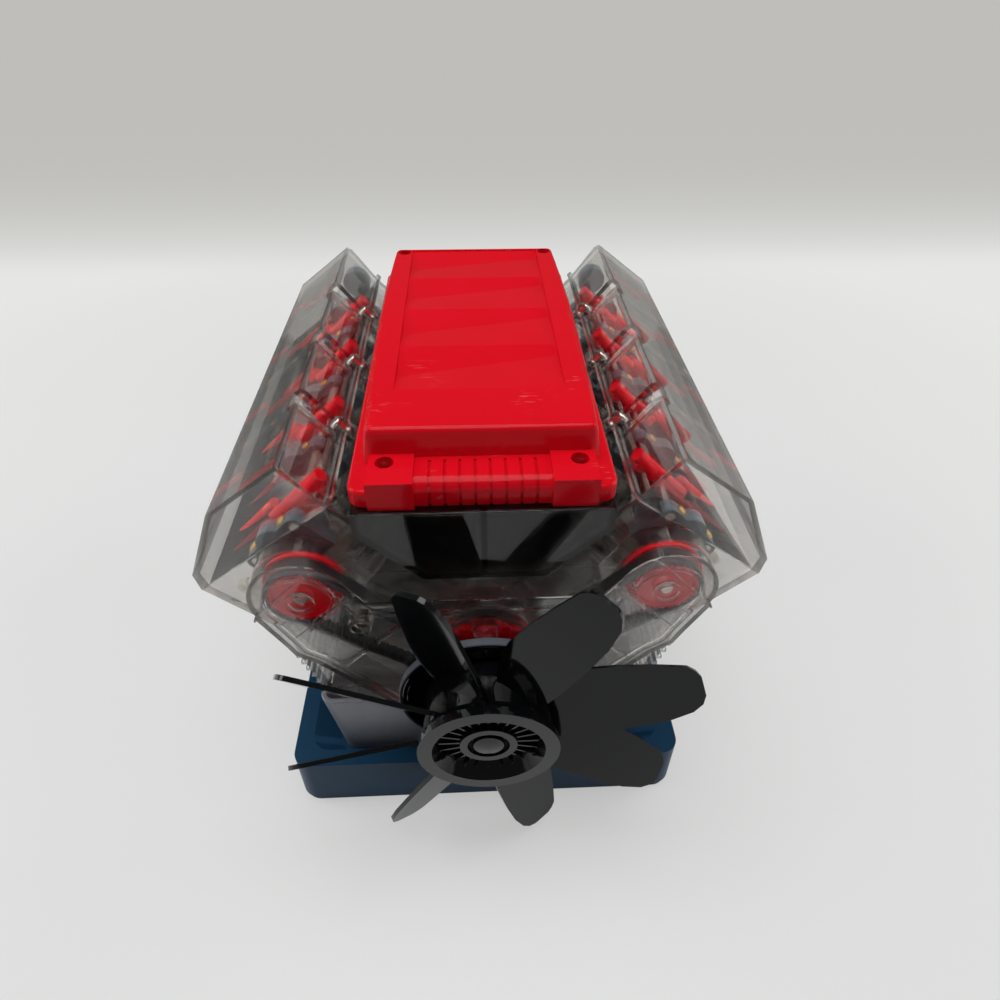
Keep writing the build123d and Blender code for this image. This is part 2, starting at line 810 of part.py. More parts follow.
def slot_face(start, end, radius):
    """A rounded bar outline between two points."""
    length = hypot(end[0] - start[0], end[1] - start[1])
    turn = degrees(atan2(end[1] - start[1], end[0] - start[0]))
    middle = ((start[0] + end[0]) / 2, (start[1] + end[1]) / 2)
    return Pos(*middle) * Rot(0, 0, turn) * SlotCenterToCenter(length, 2 * radius)


def make_rocker(side, kind, y):
    """A round bar over a pivot boss, with a leg to the cam and a pad over the valve."""
    pivot_x, pivot_z = kind["pivot"]
    pad = along_valve(kind, valve_length + valve_lash + rocker_leg_radius)
    toe = (kind["toe"], cam_z + toe_rise)
    bar_z = pivot_z + rocker_bar_rise
    out = 1 if kind["lean"] > 0 else -1
    bar_end = pad[0] + out * rocker_reach
    legs = slot_face((toe[0], bar_z), toe, rocker_leg_radius)
    legs = legs + slot_face((pad[0], bar_z), pad, rocker_leg_radius)
    legs = legs + Pos(pivot_x, pivot_z) * Circle(rocker_boss_radius)
    solid = slab(legs, y - rocker_width / 2, y + rocker_width / 2)
    x_low, x_high = sorted((toe[0] - out * rocker_leg_radius, bar_end))
    spindle = facetted(rocker_bar_radius, x_high - x_low, bar_sides)
    solid = solid + Pos(x_low, y, bar_z) * Rot(0, 90, 0) * spindle
    bore = rocker_shaft_radius + running_gap
    solid = solid - bar(bore, y - rocker_width, y + rocker_width, pivot_x, pivot_z)
    return on_bank(solid, side)


# Rocker covers
def cover_outline():
    return outline([
        (head_inner, cover_foot_inner + seat_gap), (ridge_x - ridge_lip_out, ridge_z - ridge_lip_drop),
        (ridge_x, ridge_z), (crown_x, crown_z), (brow_x, brow_z), (tip_x, cover_foot_outer + seat_gap),
    ])


def channel(y, grow):
    """The pocket down which a cover's bolt is reached."""
    reach = cover_channel_x + cover_channel_depth + grow
    half = cover_channel_half_width + grow
    return box(
        (cover_channel_x - cover_channel_half_width - overrun, reach), (y - half, y + half),
        (cover_channel_floor - grow, crown_z + overrun),
    )


def make_cover(side):
    body = slab(cover_outline(), 0, cover_length)
    room = outline([
        (head_inner + cover_wall, cover_foot_inner - overrun), (ridge_x + cover_wall, ridge_z - cover_wall),
        (crown_x, crown_z - cover_wall), (brow_x - cover_wall, brow_z - cover_wall),
        (head_outer - cover_wall, cover_foot_outer - overrun),
    ])
    cavity = slab(room, cover_wall, cover_length - cover_wall)
    channels = [channel(y, 0) for y in cover_bolt_ys]
    walls = [channel(y, channel_wall) for y in cover_bolt_ys]
    body = body - (cavity - walls)
    slope = (cover_foot_outer - cover_foot_inner) / (head_outer - head_inner)
    foot = cover_foot_inner + seat_gap + slope * (cover_channel_x + cover_boss_radius - head_inner)
    posts = [cover_post(y, cover_boss_radius, foot, cover_channel_floor) for y in cover_bolt_ys]
    body = body - channels + posts + cover_flange(foot)
    body = body - [cover_screw_hole(y) for y in cover_bolt_ys]
    return on_bank(body, side)


def cover_flange(foot):
    """A flat strip along the cover's inner foot, its two ends rounded."""
    width = cover_flange_reach + cover_wall / 2
    face = Rectangle(width, cover_length)
    face = fillet(face.vertices().group_by(Axis.X)[0], cover_flange_corner)
    middle = head_inner - cover_flange_reach + width / 2
    return extrude(Pos(middle, cover_length / 2, foot) * face, amount=cover_flange_height)


# Timing drive
def pulley_circles(grow):
    """Pulleys in belt order, each with centre and signed radius: the idler bends the belt back."""
    inside = free_gap + grow
    outside = free_gap + belt_thickness - grow
    return [
        ((0, 0), crank_sprocket_radius + inside),
        ((cam_across, cam_up), cam_pulley_radius + inside),
        ((0, idler_rise), -(idler_radius + outside)),
        ((-cam_across, cam_up), cam_pulley_radius + inside),
    ]


def belt_face(grow):
    """The area inside one side of the belt, from tangent lines and arcs."""
    circles = pulley_circles(grow)
    count = len(circles)
    headings = []
    for i, ((x0, z0), r0) in enumerate(circles):
        (x1, z1), r1 = circles[(i + 1) % count]
        span = hypot(x1 - x0, z1 - z0)
        headings.append(atan2(z1 - z0, x1 - x0) + asin((r0 - r1) / span))
    edges = []
    for i, ((x, z), radius) in enumerate(circles):
        arrive, leave = headings[i - 1], headings[i]
        while radius > 0 and leave < arrive:
            leave += 2 * pi
        while radius < 0 and leave > arrive:
            leave -= 2 * pi
        marks = [(x + radius * sin(a), z - radius * cos(a)) for a in (arrive, (arrive + leave) / 2, leave)]
        edges.append(ThreePointArc(*marks))
        (nx, nz), next_radius = circles[(i + 1) % count]
        landing = (nx + next_radius * sin(headings[i]), nz - next_radius * cos(headings[i]))
        edges.append(Line(marks[2], landing))
    return make_face(edges)


def make_belt():
    return slab(belt_face(belt_thickness) - belt_face(0), belt_front, belt_back)


def make_cam_pulley(side):
    x, z = side * cam_across, cam_up
    wheel = bar(cam_pulley_radius, belt_front, belt_back + free_gap, x, z)
    flange_front = belt_back + free_gap
    wheel = wheel + bar(cam_flange_radius, flange_front, flange_front + cam_flange_thickness, x, z)
    recess = cam_pulley_radius - pulley_rim
    hub = cam_shaft_radius + pulley_rim
    pocket = bar(recess, belt_front - overrun, belt_front + pulley_rim, x, z)
    wheel = wheel - (pocket - bar(hub, belt_front - overrun, belt_back, x, z))
    return wheel - bar(cam_shaft_radius + seat_gap / 2, belt_front - overrun, 0, x, z)


def gear_face(radius, depth, teeth):
    points = []
    for i in range(teeth):
        for share, r in zip(tooth_shares, (radius - depth, radius - depth, radius, radius)):
            turn = 2 * pi * (i + share) / teeth
            points.append((r * cos(turn), r * sin(turn)))
    return outline(points)


def make_crank_pulley():
    """The toothed belt sprocket with its big gear behind, and the grooved pulley in front."""
    bore = nose_radius + seat_gap / 2
    face = gear_face(crank_gear_radius, crank_gear_tooth_depth, crank_gear_teeth)
    gear = slab(face, crank_gear_front, crank_gear_back)
    gear = gear + bar(crank_sprocket_radius, belt_front, crank_gear_back)
    gear = gear - bar(bore, belt_front - overrun, 0)
    groove = pulley_groove_depth
    low, high = crank_pulley_front, crank_pulley_back
    middle = (low + high) / 2
    wheel = revolve(outline([
        (bore, low), (crank_pulley_radius, low), (crank_pulley_radius, middle - groove / 2),
        (crank_pulley_radius - groove, middle), (crank_pulley_radius, middle + groove / 2),
        (crank_pulley_radius, high), (hub_hole_radius - free_gap, high),
        (hub_hole_radius - free_gap, belt_front - seat_gap), (bore, belt_front - seat_gap),
    ]), Axis.Y)
    return Compound(children=[gear, wheel])


def make_idler():
    wheel = bar(idler_radius, belt_front, belt_back, 0, idler_rise)
    return wheel - bar(idler_pin_radius + running_gap, belt_front - overrun, 0, 0, idler_rise)


def timing_outline(shrink):
    """The timing case seen from the front: two round lobes, a bar between them, a tapering foot."""
    lobe = lobe_outer_radius - shrink
    side = [(a * timing_half_width, b * timing_side_height) for a, b in reversed(timing_side_shares)]
    # where the straight edges leave the lobe's round
    reach = hypot(cam_across - bar_half_length, cam_up - bar_rise)
    base = atan2(cam_up - bar_rise, cam_across - bar_half_length)
    rise = base + asin(lobe_outer_radius / reach)
    touch = sqrt(reach ** 2 - lobe_outer_radius ** 2)
    shoulder = (bar_half_length + touch * cos(rise), bar_rise + touch * sin(rise))
    face = mirrored_outline(side + [shoulder, (bar_half_length, bar_rise)])
    if shrink:
        face = offset(face, amount=-shrink, kind=Kind.INTERSECTION)
    for x in (cam_across, -cam_across):
        face = face + Pos(x, cam_up) * Circle(lobe)
    return face + Circle(timing_foot_radius - shrink)


def make_timing_cover():
    case = slab(timing_outline(0), timing_front, 0)
    case = case - slab(timing_outline(timing_wall), timing_front + timing_wall, overrun)
    case = case - bar(hub_hole_radius, timing_front - overrun, 0)
    ribs = []
    for side in (1, -1):
        ribs += lobe_ribs(side)
    case = case + ribs
    pin = bar(idler_pin_radius, timing_front + timing_wall / 2, belt_back, 0, idler_rise)
    case = case + pin + face_ribs()
    bosses, holes = [], []
    for x, z in case_screws():
        bosses.append(bar(case_boss_radius, timing_front, 0, x, z))
        holes.append(bar(case_screw_bore, timing_front - overrun, timing_front + case_screw_depth, x, z))
        holes.append(bar(steel_shank_radius + seat_gap, timing_front, overrun, x, z))
    return case + bosses - holes


def case_screws():
    """The x and z of the two screws that hold the case to the block."""
    x, z = bank_point(case_screw_x, cam_z - case_screw_drop)
    return [(x, z), (-x, z)]


def face_ribs():
    """A rib that follows the case's outline, and a ring round each cam pin's place."""
    face_y = timing_front - timing_rib_height
    root_y = timing_front + timing_wall / 2
    inset = loop_rib_inset + timing_rib_width
    tool = (face_y - overrun, root_y + overrun)
    loop = slab(timing_outline(loop_rib_inset), face_y, root_y) - slab(timing_outline(inset), *tool)
    ribs = [loop - bar(hub_hole_radius, *tool)]
    for x in (cam_across, -cam_across):
        ring = bar(pin_ring_radius, face_y, root_y, x, cam_up)
        ribs.append(ring - bar(pin_ring_bore, *tool, x, cam_up))
    return ribs


def lobe_ribs(side):
    """Ribs that slant across each lobe and the foot, square to the cylinders."""
    face_y = timing_front - timing_rib_height
    ribs = []
    for rise in (lobe_rib_upper, lobe_rib_middle, lobe_rib_lower):
        low = cam_z + rise - timing_rib_width / 2
        x_span = (cam_x - lobe_rib_reach, cam_x + lobe_rib_reach)
        rib = box(x_span, (face_y, 0), (low, low + timing_rib_width))
        rib = on_bank(rib, side)
        ribs.append(rib & slab(timing_outline(0), face_y, timing_front + timing_wall / 2))
    return ribs


# Fan
def make_fan():
    ring_front = -fan_reach + fan_small_ring_drop
    ring = revolve(outline([
        (0, fan_back), (fan_barrel_radius, fan_back),
        (fan_barrel_radius, -fan_reach + fan_ring_depth), (fan_ring_radius, -fan_reach + fan_ring_depth / 2),
        (fan_ring_radius, -fan_reach), (fan_ring_bore, -fan_reach),
        (fan_vane_radius, -fan_reach + fan_floor), (fan_small_ring_radius, -fan_reach + fan_floor),
        (fan_small_ring_radius, ring_front), (fan_small_ring_bore, ring_front),
        (fan_small_ring_bore, -fan_reach + fan_floor), (fan_dome_radius, -fan_reach + fan_floor),
        (fan_dome_radius, ring_front), (0, -fan_reach + fan_dome_drop),
    ]), Axis.Y)
    vanes = []
    for i in range(fan_vane_count):
        vane = box(
            (fan_small_ring_radius - fan_vane_thickness, fan_vane_radius + fan_vane_thickness),
            (-fan_reach + fan_vane_drop, -fan_reach + fan_floor + fan_vane_thickness),
            (-fan_vane_thickness / 2, fan_vane_thickness / 2),
        )
        vanes.append(Rot(0, 360 * i / fan_vane_count, 0) * vane)
    blades = [Rot(0, -(blade_first_angle + 360 * i / blade_count), 0) * blade() for i in range(blade_count)]
    return ring + vanes + blades


def blade():
    """One flat bladed arm along x, twisted to its pitch."""
    length = fan_tip_radius - blade_root_radius
    points = [(blade_root_radius + a * length, b * blade_width) for a, b in blade_outline_shares]
    plate = extrude(outline(points), amount=blade_thickness / 2, both=True)
    return Pos(0, blade_middle, 0) * Rot(90 - blade_pitch, 0, 0) * plate


# Intake
def plenum_outline(shrink):
    slope_shift = (head_inner - plenum_head_gap) / cos(radians(bank_angle))
    foot_half = plenum_foot + slope_shift
    lip_low = plenum_half_width - slope_shift
    face = mirrored_outline([
        (foot_half, plenum_foot), (plenum_half_width, lip_low), (plenum_half_width, plenum_top),
    ])
    return offset(face, amount=-shrink, kind=Kind.INTERSECTION) if shrink else face


def make_plenum():
    body = slab(plenum_outline(0), plenum_front, plenum_back)
    room = slab(plenum_outline(plenum_wall), plenum_front + plenum_wall, plenum_back - plenum_wall)
    web = box((-plenum_web / 2, plenum_web / 2), (plenum_front, plenum_back), (plenum_foot, plenum_top))
    return body - (room - web)


def rounded_slab(half_width, y_front, y_back, corner, z_low, z_high, taper=0):
    face = Pos(0, (y_front + y_back) / 2, z_low) * RectangleRounded(2 * half_width, y_back - y_front, corner)
    return extrude(face, amount=z_high - z_low, taper=taper)


def bowed_slab(half_width, bulge, y_front, y_back, corner, z_low, z_high, taper):
    """A tapering block whose two long sides bow out, with rounded corners."""
    middle = (y_front + y_back) / 2
    face = make_face([
        Line((-half_width, y_front), (half_width, y_front)),
        ThreePointArc((half_width, y_front), (half_width + bulge, middle), (half_width, y_back)),
        Line((half_width, y_back), (-half_width, y_back)),
        ThreePointArc((-half_width, y_back), (-half_width - bulge, middle), (-half_width, y_front)),
    ])
    face = fillet(face.vertices(), corner)
    return extrude(Pos(0, 0, z_low) * face, amount=z_high - z_low, taper=taper)


def soften_top(solid, radius):
    return fillet(solid.faces().sort_by(Axis.Z)[-1].edges(), radius)


def grip_face():
    """The grip's end view, in y and z, its upper front edge rounded."""
    y, z, r = lid_front, lid_grip_top, lid_grip_edge
    back = lid_body_front + overrun
    face = outline([(y, lid_base), (y, z - r), (y + r, z), (back, z), (back, lid_base)])
    return face + Pos(y + r, z - r) * Circle(r)


def groove_face():
    """A grip groove's end view: it follows the grip's front and top."""
    near = outline([
        (lid_front - overrun, lid_base - overrun), (lid_body_front, lid_base - overrun),
        (lid_body_front, lid_grip_top + overrun), (lid_front - overrun, lid_grip_top + overrun),
    ])
    deep = Pos(lid_grip_groove, -lid_grip_groove) * grip_face()
    return near - deep - Pos(0, -lid_grip_groove) * deep


def make_lid():
    """The red cover: a flange, a tapering body, two screw pads with a ribbed grip between them."""
    draft = degrees(atan2(lid_body_draft, lid_top - lid_base))
    flange = soften_top(
        rounded_slab(lid_half_width, lid_front, lid_back, lid_corner, lid_base, lid_base + lid_flange_height),
        lid_flange_edge,
    )
    body = soften_top(bowed_slab(
        lid_body_half_width, lid_body_bulge, lid_body_front, lid_body_back,
        lid_corner, lid_base, lid_top, draft,
    ), lid_body_edge)
    lid = flange + body
    for side in (1, -1):
        pad_span = sorted((side * lid_pad_inner, side * lid_pad_outer))
        lid = lid + box(pad_span, (lid_pad_front, lid_body_front + overrun), (lid_base, lid_pad_top))
    grip = extrude(Plane.YZ * grip_face(), amount=lid_pad_inner, both=True)
    lid = lid + grip
    room_top = lid_base + lid_flange_height - lid_wall
    room = rounded_slab(
        lid_half_width - lid_wall, lid_front + lid_wall, lid_back - lid_wall, lid_corner - lid_wall,
        lid_base - overrun, room_top,
    )
    upper = rounded_slab(
        lid_body_half_width - lid_wall, lid_body_front + lid_wall, lid_body_back - lid_wall,
        lid_corner - lid_wall, lid_base, lid_top - lid_wall - panel_depth, draft,
    )
    lid = (lid - (room + upper)) + [post & lid for post in screw_posts()]
    pitch = 2 * lid_pad_inner / lid_grip_count
    for i in range(1, lid_grip_count):
        x = -lid_pad_inner + i * pitch
        groove = lid_grip_groove / 2
        lid = lid - Pos(x, 0, 0) * extrude(Plane.YZ * groove_face(), amount=groove, both=True)
    lid = lid - [screw_hole(x, y, top) for x, y, top in lid_screws()]
    return lid - louvre_tool()


def lid_screws():
    """Each lid screw's x, y and the height of the face that it enters."""
    places = []
    for side in (1, -1):
        places.append((side * lid_screw_x, lid_screw_y, lid_pad_top))
        places.append((side * lid_rear_screw_x, lid_screw_back, lid_top))
    return places


def screw_posts():
    radius = screw_counterbore_radius + lid_wall
    return [
        Pos(x, y, (lid_base + top - lid_wall) / 2) * Cylinder(radius, top - lid_wall - lid_base)
        for x, y, top in lid_screws()
    ]


def screw_hole(x, y, top):
    wide = Pos(x, y, top - screw_counterbore_depth) * extrude(
        Circle(screw_counterbore_radius), amount=screw_counterbore_depth + overrun
    )
    narrow = Pos(x, y, lid_base - overrun) * extrude(
        Circle(steel_shank_radius + seat_gap), amount=top - lid_base + overrun
    )
    return wide + narrow


def louvre_tool():
    """The space over four slanting louvres, cut out of the lid's top."""
    pitch = (panel_back - panel_front) / panel_louvres
    faces = []
    for x, share in ((-panel_half_width, crease_left_share), (panel_half_width, crease_right_share)):
        points = [(panel_front, lid_top + overrun), (panel_front, lid_top)]
        for i in range(panel_louvres):
            start = panel_front + i * pitch
            points.append((start + share * pitch, lid_top - panel_depth))
            if i < panel_louvres - 1:
                points.append((start + pitch, lid_top - panel_shallow))
        points += [(panel_back, lid_top - panel_shallow), (panel_back, lid_top + overrun)]
        faces.append(Pos(x, 0, 0) * (Plane.YZ * outline(points)))
    return loft(faces, ruled=True)


def screw(x, y, seat, length):
    shank = Pos(x, y, seat - length) * facetted(steel_shank_radius, length + seat_gap, screw_sides)
    head = Pos(x, y, seat + seat_gap) * facetted(steel_head_radius, steel_head_height, screw_sides)
    return shank + head


def make_steel_screws():
    """Screws of the lid, of the two rocker covers and of the timing case."""
    screws = [
        screw(x, y, top - screw_counterbore_depth, top - screw_counterbore_depth - lid_base - seat_gap)
        for x, y, top in lid_screws()
    ]
    for side in (1, -1):
        for y in cover_bolt_ys:
            one = screw(cover_channel_x, y, cover_channel_floor, steel_shank_length)
            screws.append(on_bank(one, side))
    for x, z in case_screws():
        one = screw(0, 0, 0, case_screw_length)
        screws.append(Pos(x, timing_front + case_screw_depth, z) * Rot(90, 0, 0) * one)
    return Compound(children=screws)


# Sump and stand
def make_pan():
    low = pan_foot_height - crank_height
    high = -pan_rail_drop - seat_gap

    def tub(shrink, z_low, z_high):
        foot = Pos(0, (pan_foot_back + pan_foot_front) / 2, z_low) * RectangleRounded(
            2 * (pan_foot_half_width - shrink),
            pan_foot_back - pan_foot_front - 2 * shrink, pan_corner - shrink,
        )
        mouth = Pos(0, (pan_back + pan_front) / 2, z_high) * RectangleRounded(
            2 * (pan_top_half_width - shrink), pan_back - pan_front - 2 * shrink, pan_corner - shrink
        )
        return loft([foot, mouth])

    tray = tub(0, low, high) - tub(pan_wall, low + pan_wall, high + seat_gap)
    return tray - bar(timing_foot_radius + seat_gap, pan_front - overrun, seat_gap)


def make_base():
    middle = base_front + base_length / 2
    low = floor_plate_height + seat_gap - crank_height
    well_low = pan_foot_height - seat_gap - crank_height
    top = base_height - crank_height
    body = extrude(
        Pos(0, middle, low) * RectangleRounded(2 * base_half_width, base_length, base_corner),
        amount=top - low, taper=base_draft,
    )
    rim = Pos(0, middle, top) * RectangleRounded(
        2 * (base_half_width - base_rim), base_length - 2 * base_rim, base_corner
    )
    well = Pos(0, (pan_foot_front + pan_foot_back) / 2, well_low) * RectangleRounded(
        2 * (pan_foot_half_width + base_wall), pan_foot_back - pan_foot_front + 2 * base_wall, base_corner
    )
    body = body - loft([well, rim])
    inside = extrude(
        Pos(0, middle, low) * RectangleRounded(
            2 * (base_half_width - base_wall), base_length - 2 * base_wall, base_corner - base_wall
        ),
        amount=well_low - base_wall - low, taper=base_draft,
    )
    return body - inside


def make_floor_plate():
    middle = base_front + base_length / 2
    plate = Pos(0, middle, -crank_height) * RectangleRounded(
        2 * (base_half_width - floor_plate_inset), base_length - 2 * floor_plate_inset, base_corner
    )
    return extrude(plate, amount=floor_plate_height)


def build():
    os.makedirs("parts", exist_ok=True)
    save("base_stand", make_base())
    save("base_floor_plate", make_floor_plate())
    save("oil_pan", make_pan())
    save("engine_block", make_block())
    save("main_bearing_caps", make_bearing_caps())
    save("crankshaft", make_crankshaft())
    save("crank_pulley", make_crank_pulley())
    save("fan", make_fan())
    save("timing_cover", make_timing_cover())
    save("timing_belt", make_belt())
    save("belt_idler", make_idler())
    save("intake_plenum", make_plenum())
    save("plenum_cover", make_lid())
    save("steel_screws", make_steel_screws())
    save("brass_screws", make_brass_screws())
    save("cam_bearing_stands", make_cam_stands())
    save("rocker_shafts", make_rocker_shafts())
    save("valves", make_valves())
    save("valve_springs", make_springs())
    save("spark_plugs", make_spark_plugs())
    number = 0
    rocker_number = 0
    for side, name in ((1, "right"), (-1, "left")):
        save(f"{name}_cylinder_head", make_head(side))
        save(f"{name}_rocker_cover", make_cover(side))
        save(f"{name}_camshaft", make_camshaft(side))
        save(f"{name}_cam_pulley", make_cam_pulley(side))
        for index in range(cylinders_per_bank):
            number += 1
            save(f"piston_{number}", make_piston(side, index))
            save(f"connecting_rod_{number}", make_rod(side, index))
        for kind, y in valve_rows(side):
            rocker_number += 1
            save(f"rocker_{rocker_number}", make_rocker(side, kind, y))


build()
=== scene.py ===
import math
import random

import bmesh
import bpy
from mathutils import Matrix, Vector


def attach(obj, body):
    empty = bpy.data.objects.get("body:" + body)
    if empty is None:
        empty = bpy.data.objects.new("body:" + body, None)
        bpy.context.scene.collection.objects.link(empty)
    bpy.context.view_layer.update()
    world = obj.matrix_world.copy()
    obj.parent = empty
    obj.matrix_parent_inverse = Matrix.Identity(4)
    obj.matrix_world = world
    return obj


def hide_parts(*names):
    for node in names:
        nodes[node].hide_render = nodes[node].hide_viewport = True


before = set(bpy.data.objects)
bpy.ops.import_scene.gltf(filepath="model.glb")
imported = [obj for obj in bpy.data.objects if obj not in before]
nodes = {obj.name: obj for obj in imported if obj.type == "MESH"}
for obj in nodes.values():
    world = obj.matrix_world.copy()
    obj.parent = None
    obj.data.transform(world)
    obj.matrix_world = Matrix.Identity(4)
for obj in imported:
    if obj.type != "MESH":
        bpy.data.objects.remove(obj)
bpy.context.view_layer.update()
print("frame loaded:", len(nodes), "pieces")

mm = 0.001

# Where the engine's own axes lie: x across, y back from the block's front, z up from the crank
engine = {
    "crankHeight": 96.0, "frontY": -79.0, "bankAngle": 45.0, "pitch": 51.0, "firstThrow": 26.0, "stagger": 4.0,
    "throw": 14.0, "rod": 54.0, "camAcross": 70.004, "camUp": 60.811,
}


def row(x, y, z):  # a point of the engine's axes, in metres of the row frame
    return Vector((x, y + engine["frontY"], z + engine["crankHeight"])) * mm


def bankRow(side, u, y, v):  # a point of a bank's axes: u outward, v along its cylinders
    turn = math.radians(engine["bankAngle"])
    across = u * math.cos(turn) + v * math.sin(turn)
    return row(side * across, y, v * math.cos(turn) - u * math.sin(turn))


def bankTurn(side, lean=0.0):  # turns +Z to lean outward by so many degrees from the cylinders
    return Matrix.Rotation(side * math.radians(engine["bankAngle"] + lean), 4, "Y")


def spot(place, turn, spin=0.0):
    return Matrix.Translation(place) @ turn @ Matrix.Rotation(spin, 4, "Z")


def cylinderYs(side):
    return [engine["firstThrow"] + engine["pitch"] * i + side * engine["stagger"] for i in range(4)]


# Nodes, for materials and for geometry alike
def addNode(tree, kind, inputs=None, **settings):
    node = tree.nodes.new(kind)
    for key, value in settings.items():
        setattr(node, key, value)
    for key, value in (inputs or {}).items():
        if isinstance(value, bpy.types.NodeSocket):
            tree.links.new(value, node.inputs[key])
        else:
            node.inputs[key].default_value = value
    return node


def combine(tree, operation, first, second, **settings):  # the result of one math node
    return addNode(tree, "ShaderNodeMath", {0: first, 1: second}, operation=operation, **settings).outputs["Value"]


def linear(code):
    parts = [int(code[i:i + 2], 16) / 255 for i in (1, 3, 5)]
    return (*[c / 12.92 if c <= 0.04045 else ((c + 0.055) / 1.055) ** 2.4 for c in parts], 1.0)


def startMaterial(name):
    material = bpy.data.materials.new(name)
    material.use_nodes = True
    tree = material.node_tree
    tree.nodes.clear()
    place = addNode(tree, "ShaderNodeTexCoord").outputs["Object"]
    out = addNode(tree, "ShaderNodeOutputMaterial")
    return material, tree, place, out


def mouldedPlastic(name, look):
    material, tree, place, out = startMaterial(name)
    cloud = addNode(tree, "ShaderNodeTexNoise", {
        "Vector": place, "Scale": 1 / (look["cloudMm"] * mm), "Detail": 3.0, "Roughness": 0.6,
    })
    tone = addNode(tree, "ShaderNodeMix", {
        "Factor": cloud.outputs["Fac"], "A": linear(look["colour"]), "B": linear(look["second"]),
    }, data_type="RGBA")
    sheen = addNode(tree, "ShaderNodeMapRange", {
        "Value": cloud.outputs["Fac"], "To Min": look["roughness"], "To Max": look["rougher"],
    })
    peel = addNode(tree, "ShaderNodeTexNoise", {
        "Vector": place, "Scale": 1 / (look["peelMm"] * mm), "Detail": 2.0,
    })
    bump = addNode(tree, "ShaderNodeBump", {
        "Height": peel.outputs["Fac"], "Strength": look["peel"], "Distance": 0.1 * mm,
    })
    surface = addNode(tree, "ShaderNodeBsdfPrincipled", {
        "Base Color": tone.outputs["Result"], "Roughness": sheen.outputs["Result"],
        "Normal": bump.outputs["Normal"], "IOR": look["ior"], "Specular IOR Level": look.get("shine", 0.5),
    })
    if "flake" in look:  # metal flake stirred into the pellets
        grain = addNode(tree, "ShaderNodeTexVoronoi", {"Vector": place, "Scale": 1 / (look["flakeMm"] * mm)})
        glint = addNode(tree, "ShaderNodeMapRange", {
            "Value": grain.outputs["Color"], "To Min": 0.0, "To Max": look["flake"],
        })
        tree.links.new(glint.outputs["Result"], surface.inputs["Metallic"])
    if "scuffs" in look:  # pale hair scratches from handling, gathered in one patch
        long = addNode(tree, "ShaderNodeMapping", {"Vector": place, "Scale": (150.0, 900.0, 300.0)})
        hair = addNode(tree, "ShaderNodeTexNoise", {"Vector": long.outputs["Vector"], "Scale": 1.0, "Detail": 3.0})
        thin = addNode(tree, "ShaderNodeMapRange", {
            "Value": hair.outputs["Fac"], "From Min": look["scuffs"], "From Max": look["scuffs"] + 0.06,
        })
        patch = addNode(tree, "ShaderNodeTexNoise", {"Vector": place, "Scale": 38.0, "Detail": 1.0})
        where = addNode(tree, "ShaderNodeMapRange", {"Value": patch.outputs["Fac"], "From Min": 0.54, "From Max": 0.64})
        axes = addNode(tree, "ShaderNodeSeparateXYZ", {"Vector": place})
        near = addNode(tree, "ShaderNodeMapRange", {
            "Value": axes.outputs["Y"], "From Min": -0.012, "From Max": -0.030,
        })
        both = combine(tree, "MULTIPLY", thin.outputs["Result"], where.outputs["Result"])
        mask = combine(tree, "MULTIPLY", both, near.outputs["Result"])
        soft = combine(tree, "MULTIPLY", mask, look["scuffShare"])
        worn = addNode(tree, "ShaderNodeMix", {
            "Factor": soft, "A": tone.outputs["Result"], "B": linear("#f2a7a4"),
        }, data_type="RGBA")
        tree.links.new(worn.outputs["Result"], surface.inputs["Base Color"])
    tree.links.new(surface.outputs["BSDF"], out.inputs["Surface"])
    return material


# High-impact ABS, injection moulded and mould-polished: a hard gloss with faint handling marks
redAbs = mouldedPlastic("red_abs", {
    "colour": "#dc0f21", "second": "#d30b1b", "cloudMm": 30.0, "roughness": 0.12, "rougher": 0.20,
    "peelMm": 2.2, "peel": 0.06, "ior": 1.50, "shine": 0.25,
})
scuffedRedAbs = mouldedPlastic("scuffed_red_abs", {
    "colour": "#dc0f21", "second": "#d00a1a", "cloudMm": 34.0, "roughness": 0.10, "rougher": 0.16,
    "peelMm": 2.6, "peel": 0.05, "ior": 1.50, "shine": 0.12, "scuffs": 0.60, "scuffShare": 0.20,
})
blackAbs = mouldedPlastic("black_abs", {
    "colour": "#060709", "second": "#0a0b0d", "cloudMm": 16.0, "roughness": 0.05, "rougher": 0.10,
    "peelMm": 1.6, "peel": 0.03, "ior": 1.50, "shine": 0.42,
})
blueAbs = mouldedPlastic("blue_abs", {
    "colour": "#123e5c", "second": "#103853", "cloudMm": 40.0, "roughness": 0.30, "rougher": 0.40,
    "peelMm": 1.4, "peel": 0.12, "ior": 1.50, "shine": 0.18,
})
slateAbs = mouldedPlastic("slate_abs", {
    "colour": "#4d5b64", "second": "#445159", "cloudMm": 12.0, "roughness": 0.28, "rougher": 0.38,
    "peelMm": 0.9, "peel": 0.10, "ior": 1.53,
})
silverAbs = mouldedPlastic("silver_flake_abs", {
    "colour": "#8f9198", "second": "#83858d", "cloudMm": 9.0, "roughness": 0.30, "rougher": 0.42,
    "peelMm": 0.8, "peel": 0.10, "ior": 1.53, "flakeMm": 0.35, "flake": 0.55,
})
paleSlateAbs = mouldedPlastic("pale_slate_abs", {
    "colour": "#555a63", "second": "#4a4f57", "cloudMm": 1.2, "roughness": 0.45, "rougher": 0.55,
    "peelMm": 0.6, "peel": 0.30, "ior": 1.50,
})
ivoryAbs = mouldedPlastic("ivory_abs", {
    "colour": "#e9e3d6", "second": "#e2dccd", "cloudMm": 8.0, "roughness": 0.20, "rougher": 0.30,
    "peelMm": 0.8, "peel": 0.08, "ior": 1.53,
})
